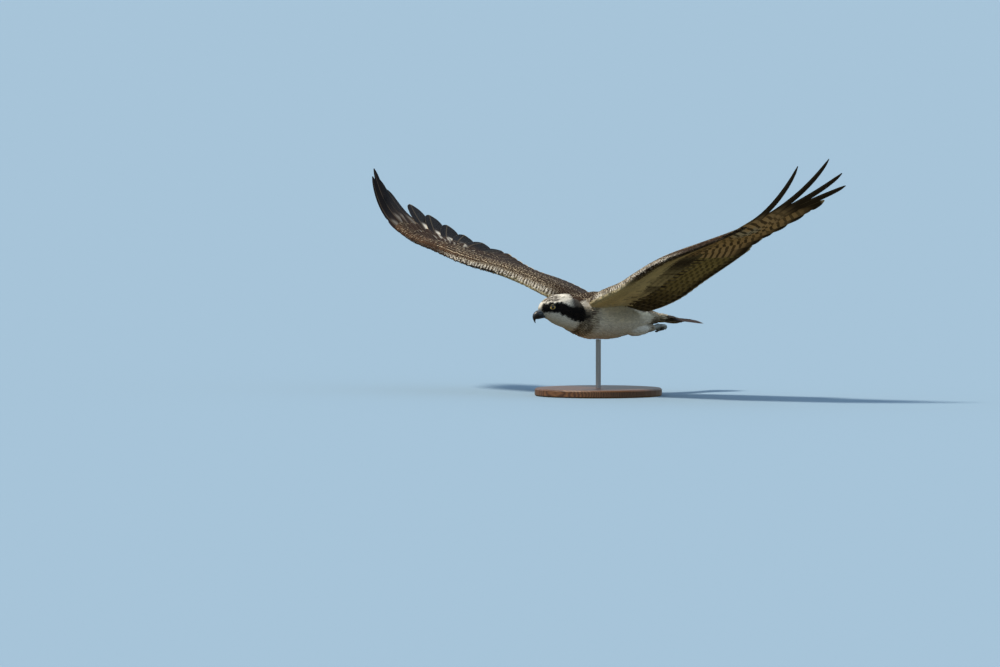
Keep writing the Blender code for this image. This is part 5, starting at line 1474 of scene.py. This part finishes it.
# scales 1.6 mm across
cells = addNode(scaleTree, "ShaderNodeTexVoronoi", {"feature": "DISTANCE_TO_EDGE"}, {
    "Vector": addNode(scaleTree, "ShaderNodeTexCoord").outputs["Object"], "Scale": 620.0})
groove = addNode(scaleTree, "ShaderNodeMapRange", {}, {"Value": cells.outputs["Distance"], "From Max": 0.12})
scaleTone = addNode(scaleTree, "ShaderNodeMix", {"data_type": "RGBA"}, {
    0: groove.outputs["Result"], 6: (*linear("#4a4c49"), 1), 7: (*linear("#9aa19e"), 1)})
scaleTree.links.new(scaleTone.outputs[2], scaleShader.inputs["Base Color"])
scaleBump = addNode(scaleTree, "ShaderNodeBump", {}, {
    "Strength": 0.6, "Distance": 0.0004, "Height": groove.outputs["Result"]})
scaleTree.links.new(scaleBump.outputs["Normal"], scaleShader.inputs["Normal"])
# smooth worn horn, black with a small bright highlight
clawHorn = newMaterial("polished black claw horn", "#131314", 0.22, Coat_Weight=0.3)[0]


def softTube(points, radii, count, sides, knobs=0.0, flatten=1.0):
    # rounded at both ends, and swollen by knobs at each bend as scutes and pads do
    line = evenly(points, np.linspace(0, len(points) - 1, count))
    size = np.maximum(evenly(radii, np.linspace(0, len(radii) - 1, count)), 0.0001)
    t = np.linspace(0, 1, count)
    swell = 1 + knobs * np.sin(t * math.pi * 2 * (len(points) - 1))
    size = size * swell * np.sqrt(np.clip(1 - (2 * t - 1) ** 12, 0.02, 1))
    rings = tubeRings(line, size, sides, flatten)
    return outward((loftPoints(rings), loftFaces(len(rings), sides)))


for side, label in ((1, "left"), (-1, "right")):
    flip = np.array((side, 1, 1))
    parts = [softTube(np.array(footPlan["line"]) * flip, footPlan["radii"], 26, 24)]
    claws = []
    palm = np.array(legPlan["palm"]) * flip
    for out, reach, drop in legPlan["toes"]:
        start = palm + (side * out * 0.5, -0.002, 0)
        mid = palm + (side * out, reach * 0.60, drop * 0.25)
        knuckle = palm + (side * out * 1.15, reach, drop)
        pad = palm + (side * out * 1.1, reach * 0.72 - 0.003, drop - 0.0048)
        joint = (knuckle + pad) / 2 + (0, 0.0015, -0.0006)
        parts.append(softTube((start, mid, knuckle, joint, pad), footPlan["toeRadii"], 30, 16, 0.07))
        hook = [pad + (0, back, high) for back, high in footPlan["claw"]]
        claws.append(softTube(hook, footPlan["clawRadii"], 18, 12, 0, 1.1))
    foot = joined(label + "Foot", parts, scaleSkin)
    claw = joined(label + "Claws", claws, clawHorn)
    for made in (foot, claw):
        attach(made, "root")
        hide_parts(label + "_leg")
print("feet")


# stand
# turned hardwood under a satin oil finish: rings 4 mm apart, and open pores 1 mm wide and 8 mm long
standWood, woodTree, woodShader = newMaterial("oiled walnut", "#5a3c27", 0.42, Coat_Weight=0.12)
woodPlace = addNode(woodTree, "ShaderNodeMapping", {}, {
    "Vector": addNode(woodTree, "ShaderNodeTexCoord").outputs["Object"], "Scale": (1.0, 9.0, 9.0)})
woodRings = addNode(woodTree, "ShaderNodeTexWave", {"wave_type": "BANDS", "bands_direction": "Y"}, {
    "Vector": woodPlace.outputs["Vector"], "Scale": 9.0, "Distortion": 5.0, "Detail": 3.0,
    "Detail Scale": 1.6})
woodPores = addNode(woodTree, "ShaderNodeTexNoise", {}, {
    "Vector": woodPlace.outputs["Vector"], "Scale": 130.0, "Detail": 4.0, "Roughness": 0.65})
woodTone = addNode(woodTree, "ShaderNodeMix", {"data_type": "RGBA"}, {
    0: woodRings.outputs["Fac"], 6: (*linear("#4a2f1e"), 1), 7: (*linear("#7a5538"), 1)})
woodShade = addNode(woodTree, "ShaderNodeMapRange", {}, {
    "Value": woodPores.outputs["Fac"], "From Min": 0.35, "From Max": 0.65, "To Min": 0.80, "To Max": 1.08})
woodColour = addNode(woodTree, "ShaderNodeHueSaturation", {}, {
    "Color": woodTone.outputs[2], "Value": woodShade.outputs["Result"]})
woodTree.links.new(woodColour.outputs["Color"], woodShader.inputs["Base Color"])
woodBump = addNode(woodTree, "ShaderNodeBump", {}, {
    "Strength": 0.12, "Distance": 0.0003, "Height": woodPores.outputs["Fac"]})
woodTree.links.new(woodBump.outputs["Normal"], woodShader.inputs["Normal"])

# brushed rod: hair-fine scratches round it break the highlight
standSteel, steelTree, steelShader = newMaterial("brushed stainless steel", "#b4b6b8", 0.3, 1.0)
steelPlace = addNode(steelTree, "ShaderNodeMapping", {}, {
    "Vector": addNode(steelTree, "ShaderNodeTexCoord").outputs["Object"], "Scale": (20.0, 20.0, 900.0)})
scratches = addNode(steelTree, "ShaderNodeTexNoise", {}, {
    "Vector": steelPlace.outputs["Vector"], "Scale": 3.0, "Detail": 2.0})
steelGloss = addNode(steelTree, "ShaderNodeMapRange", {}, {
    "Value": scratches.outputs["Fac"], "To Min": 0.24, "To Max": 0.40})
steelTree.links.new(steelGloss.outputs["Result"], steelShader.inputs["Roughness"])
steelBump = addNode(steelTree, "ShaderNodeBump", {}, {
    "Strength": 0.08, "Distance": 0.0001, "Height": scratches.outputs["Fac"]})
steelTree.links.new(steelBump.outputs["Normal"], steelShader.inputs["Normal"])
for node, finish in (("stand_base", standWood), ("stand_rod", standSteel)):
    slots = bpy.data.objects[node].data.materials
    slots.clear()
    slots.append(finish)
print("stand")


# floor, light and camera
studio = {
    "floorHalf": 240, "floor": "#84a0b7",
    "sun": {"azimuth": -28, "elevation": 58, "strength": 4.0, "softness": 9, "colour": "#fff0da"},
    "sky": "#c6dbee", "belowHorizon": "#66624a", "skyStrength": 0.8,
}
view = {
    "azimuth": 43, "elevation": 2.5, "distance": 60.0, "pixelsPerMetre": 425,
    "aimRight": -0.1906, "aimUp": -0.0506, "sensor": 36, "pixelsAcross": 1000,
}
far = studio["floorHalf"]
ground = meshFrom("floor", [(-far, -far, 0), (far, -far, 0), (far, far, 0), (-far, far, 0)], [(0, 1, 2, 3)],
                  newMaterial("matt pale blue backdrop board", studio["floor"], 0.9)[0], placed=True)
# the bird is lit by the lamp and the sky alone, so that no light from the pale floor fills its shaded side
ground.visible_diffuse = False
ground.visible_glossy = False


def direction(azimuth, elevation):
    a, e = math.radians(azimuth), math.radians(elevation)
    return Vector((math.sin(a) * math.cos(e), -math.cos(a) * math.cos(e), math.sin(e)))


sun = studio["sun"]
lamp = bpy.data.lights.new("keyLight", "SUN")
lamp.energy = sun["strength"]
lamp.angle = math.radians(sun["softness"])
lamp.color = linear(sun["colour"])
keyLight = bpy.data.objects.new("keyLight", lamp)
keyLight.rotation_euler = (-direction(sun["azimuth"], sun["elevation"])).to_track_quat("-Z", "Y").to_euler()
bpy.context.scene.collection.objects.link(keyLight)

# the sky above is pale blue, and below the horizon a dim olive stands for the ground's own light
world = bpy.data.worlds.new("studio")
bpy.context.scene.world = world
world.use_nodes = True
skyTree = world.node_tree
skyWay = addNode(skyTree, "ShaderNodeSeparateXYZ", {}, {
    "Vector": addNode(skyTree, "ShaderNodeTexCoord").outputs["Generated"]})
skyShare = addNode(skyTree, "ShaderNodeMapRange", {}, {
    "Value": skyWay.outputs["Z"], "From Min": -0.15, "From Max": 0.25})
skyTone = addNode(skyTree, "ShaderNodeMix", {"data_type": "RGBA"}, {
    0: skyShare.outputs["Result"], 6: (*linear(studio["belowHorizon"]), 1), 7: (*linear(studio["sky"]), 1)})
skyTree.links.new(skyTone.outputs[2], skyTree.nodes["Background"].inputs["Color"])
skyTree.nodes["Background"].inputs["Strength"].default_value = studio["skyStrength"]

viewTurn = math.radians(view["azimuth"])
rightward = Vector((math.cos(viewTurn), math.sin(viewTurn), 0))
toCamera = direction(view["azimuth"], view["elevation"])
upward = rightward.cross(-toCamera)
aim = place @ Vector((0, 0, 0)) + rightward * view["aimRight"] + upward * view["aimUp"]
lens = bpy.data.cameras.new("camera")
lens.sensor_width = view["sensor"]
lens.lens = view["sensor"] * view["distance"] * view["pixelsPerMetre"] / view["pixelsAcross"]
lens.clip_start, lens.clip_end = 1, 400
camera = bpy.data.objects.new("camera", lens)
camera.location = aim + toCamera * view["distance"]
camera.rotation_euler = (-toCamera).to_track_quat("-Z", "Y").to_euler()
bpy.context.scene.collection.objects.link(camera)
bpy.context.scene.camera = camera
print("floor, light and camera")

bpy.context.scene.view_settings.view_transform = "Standard"
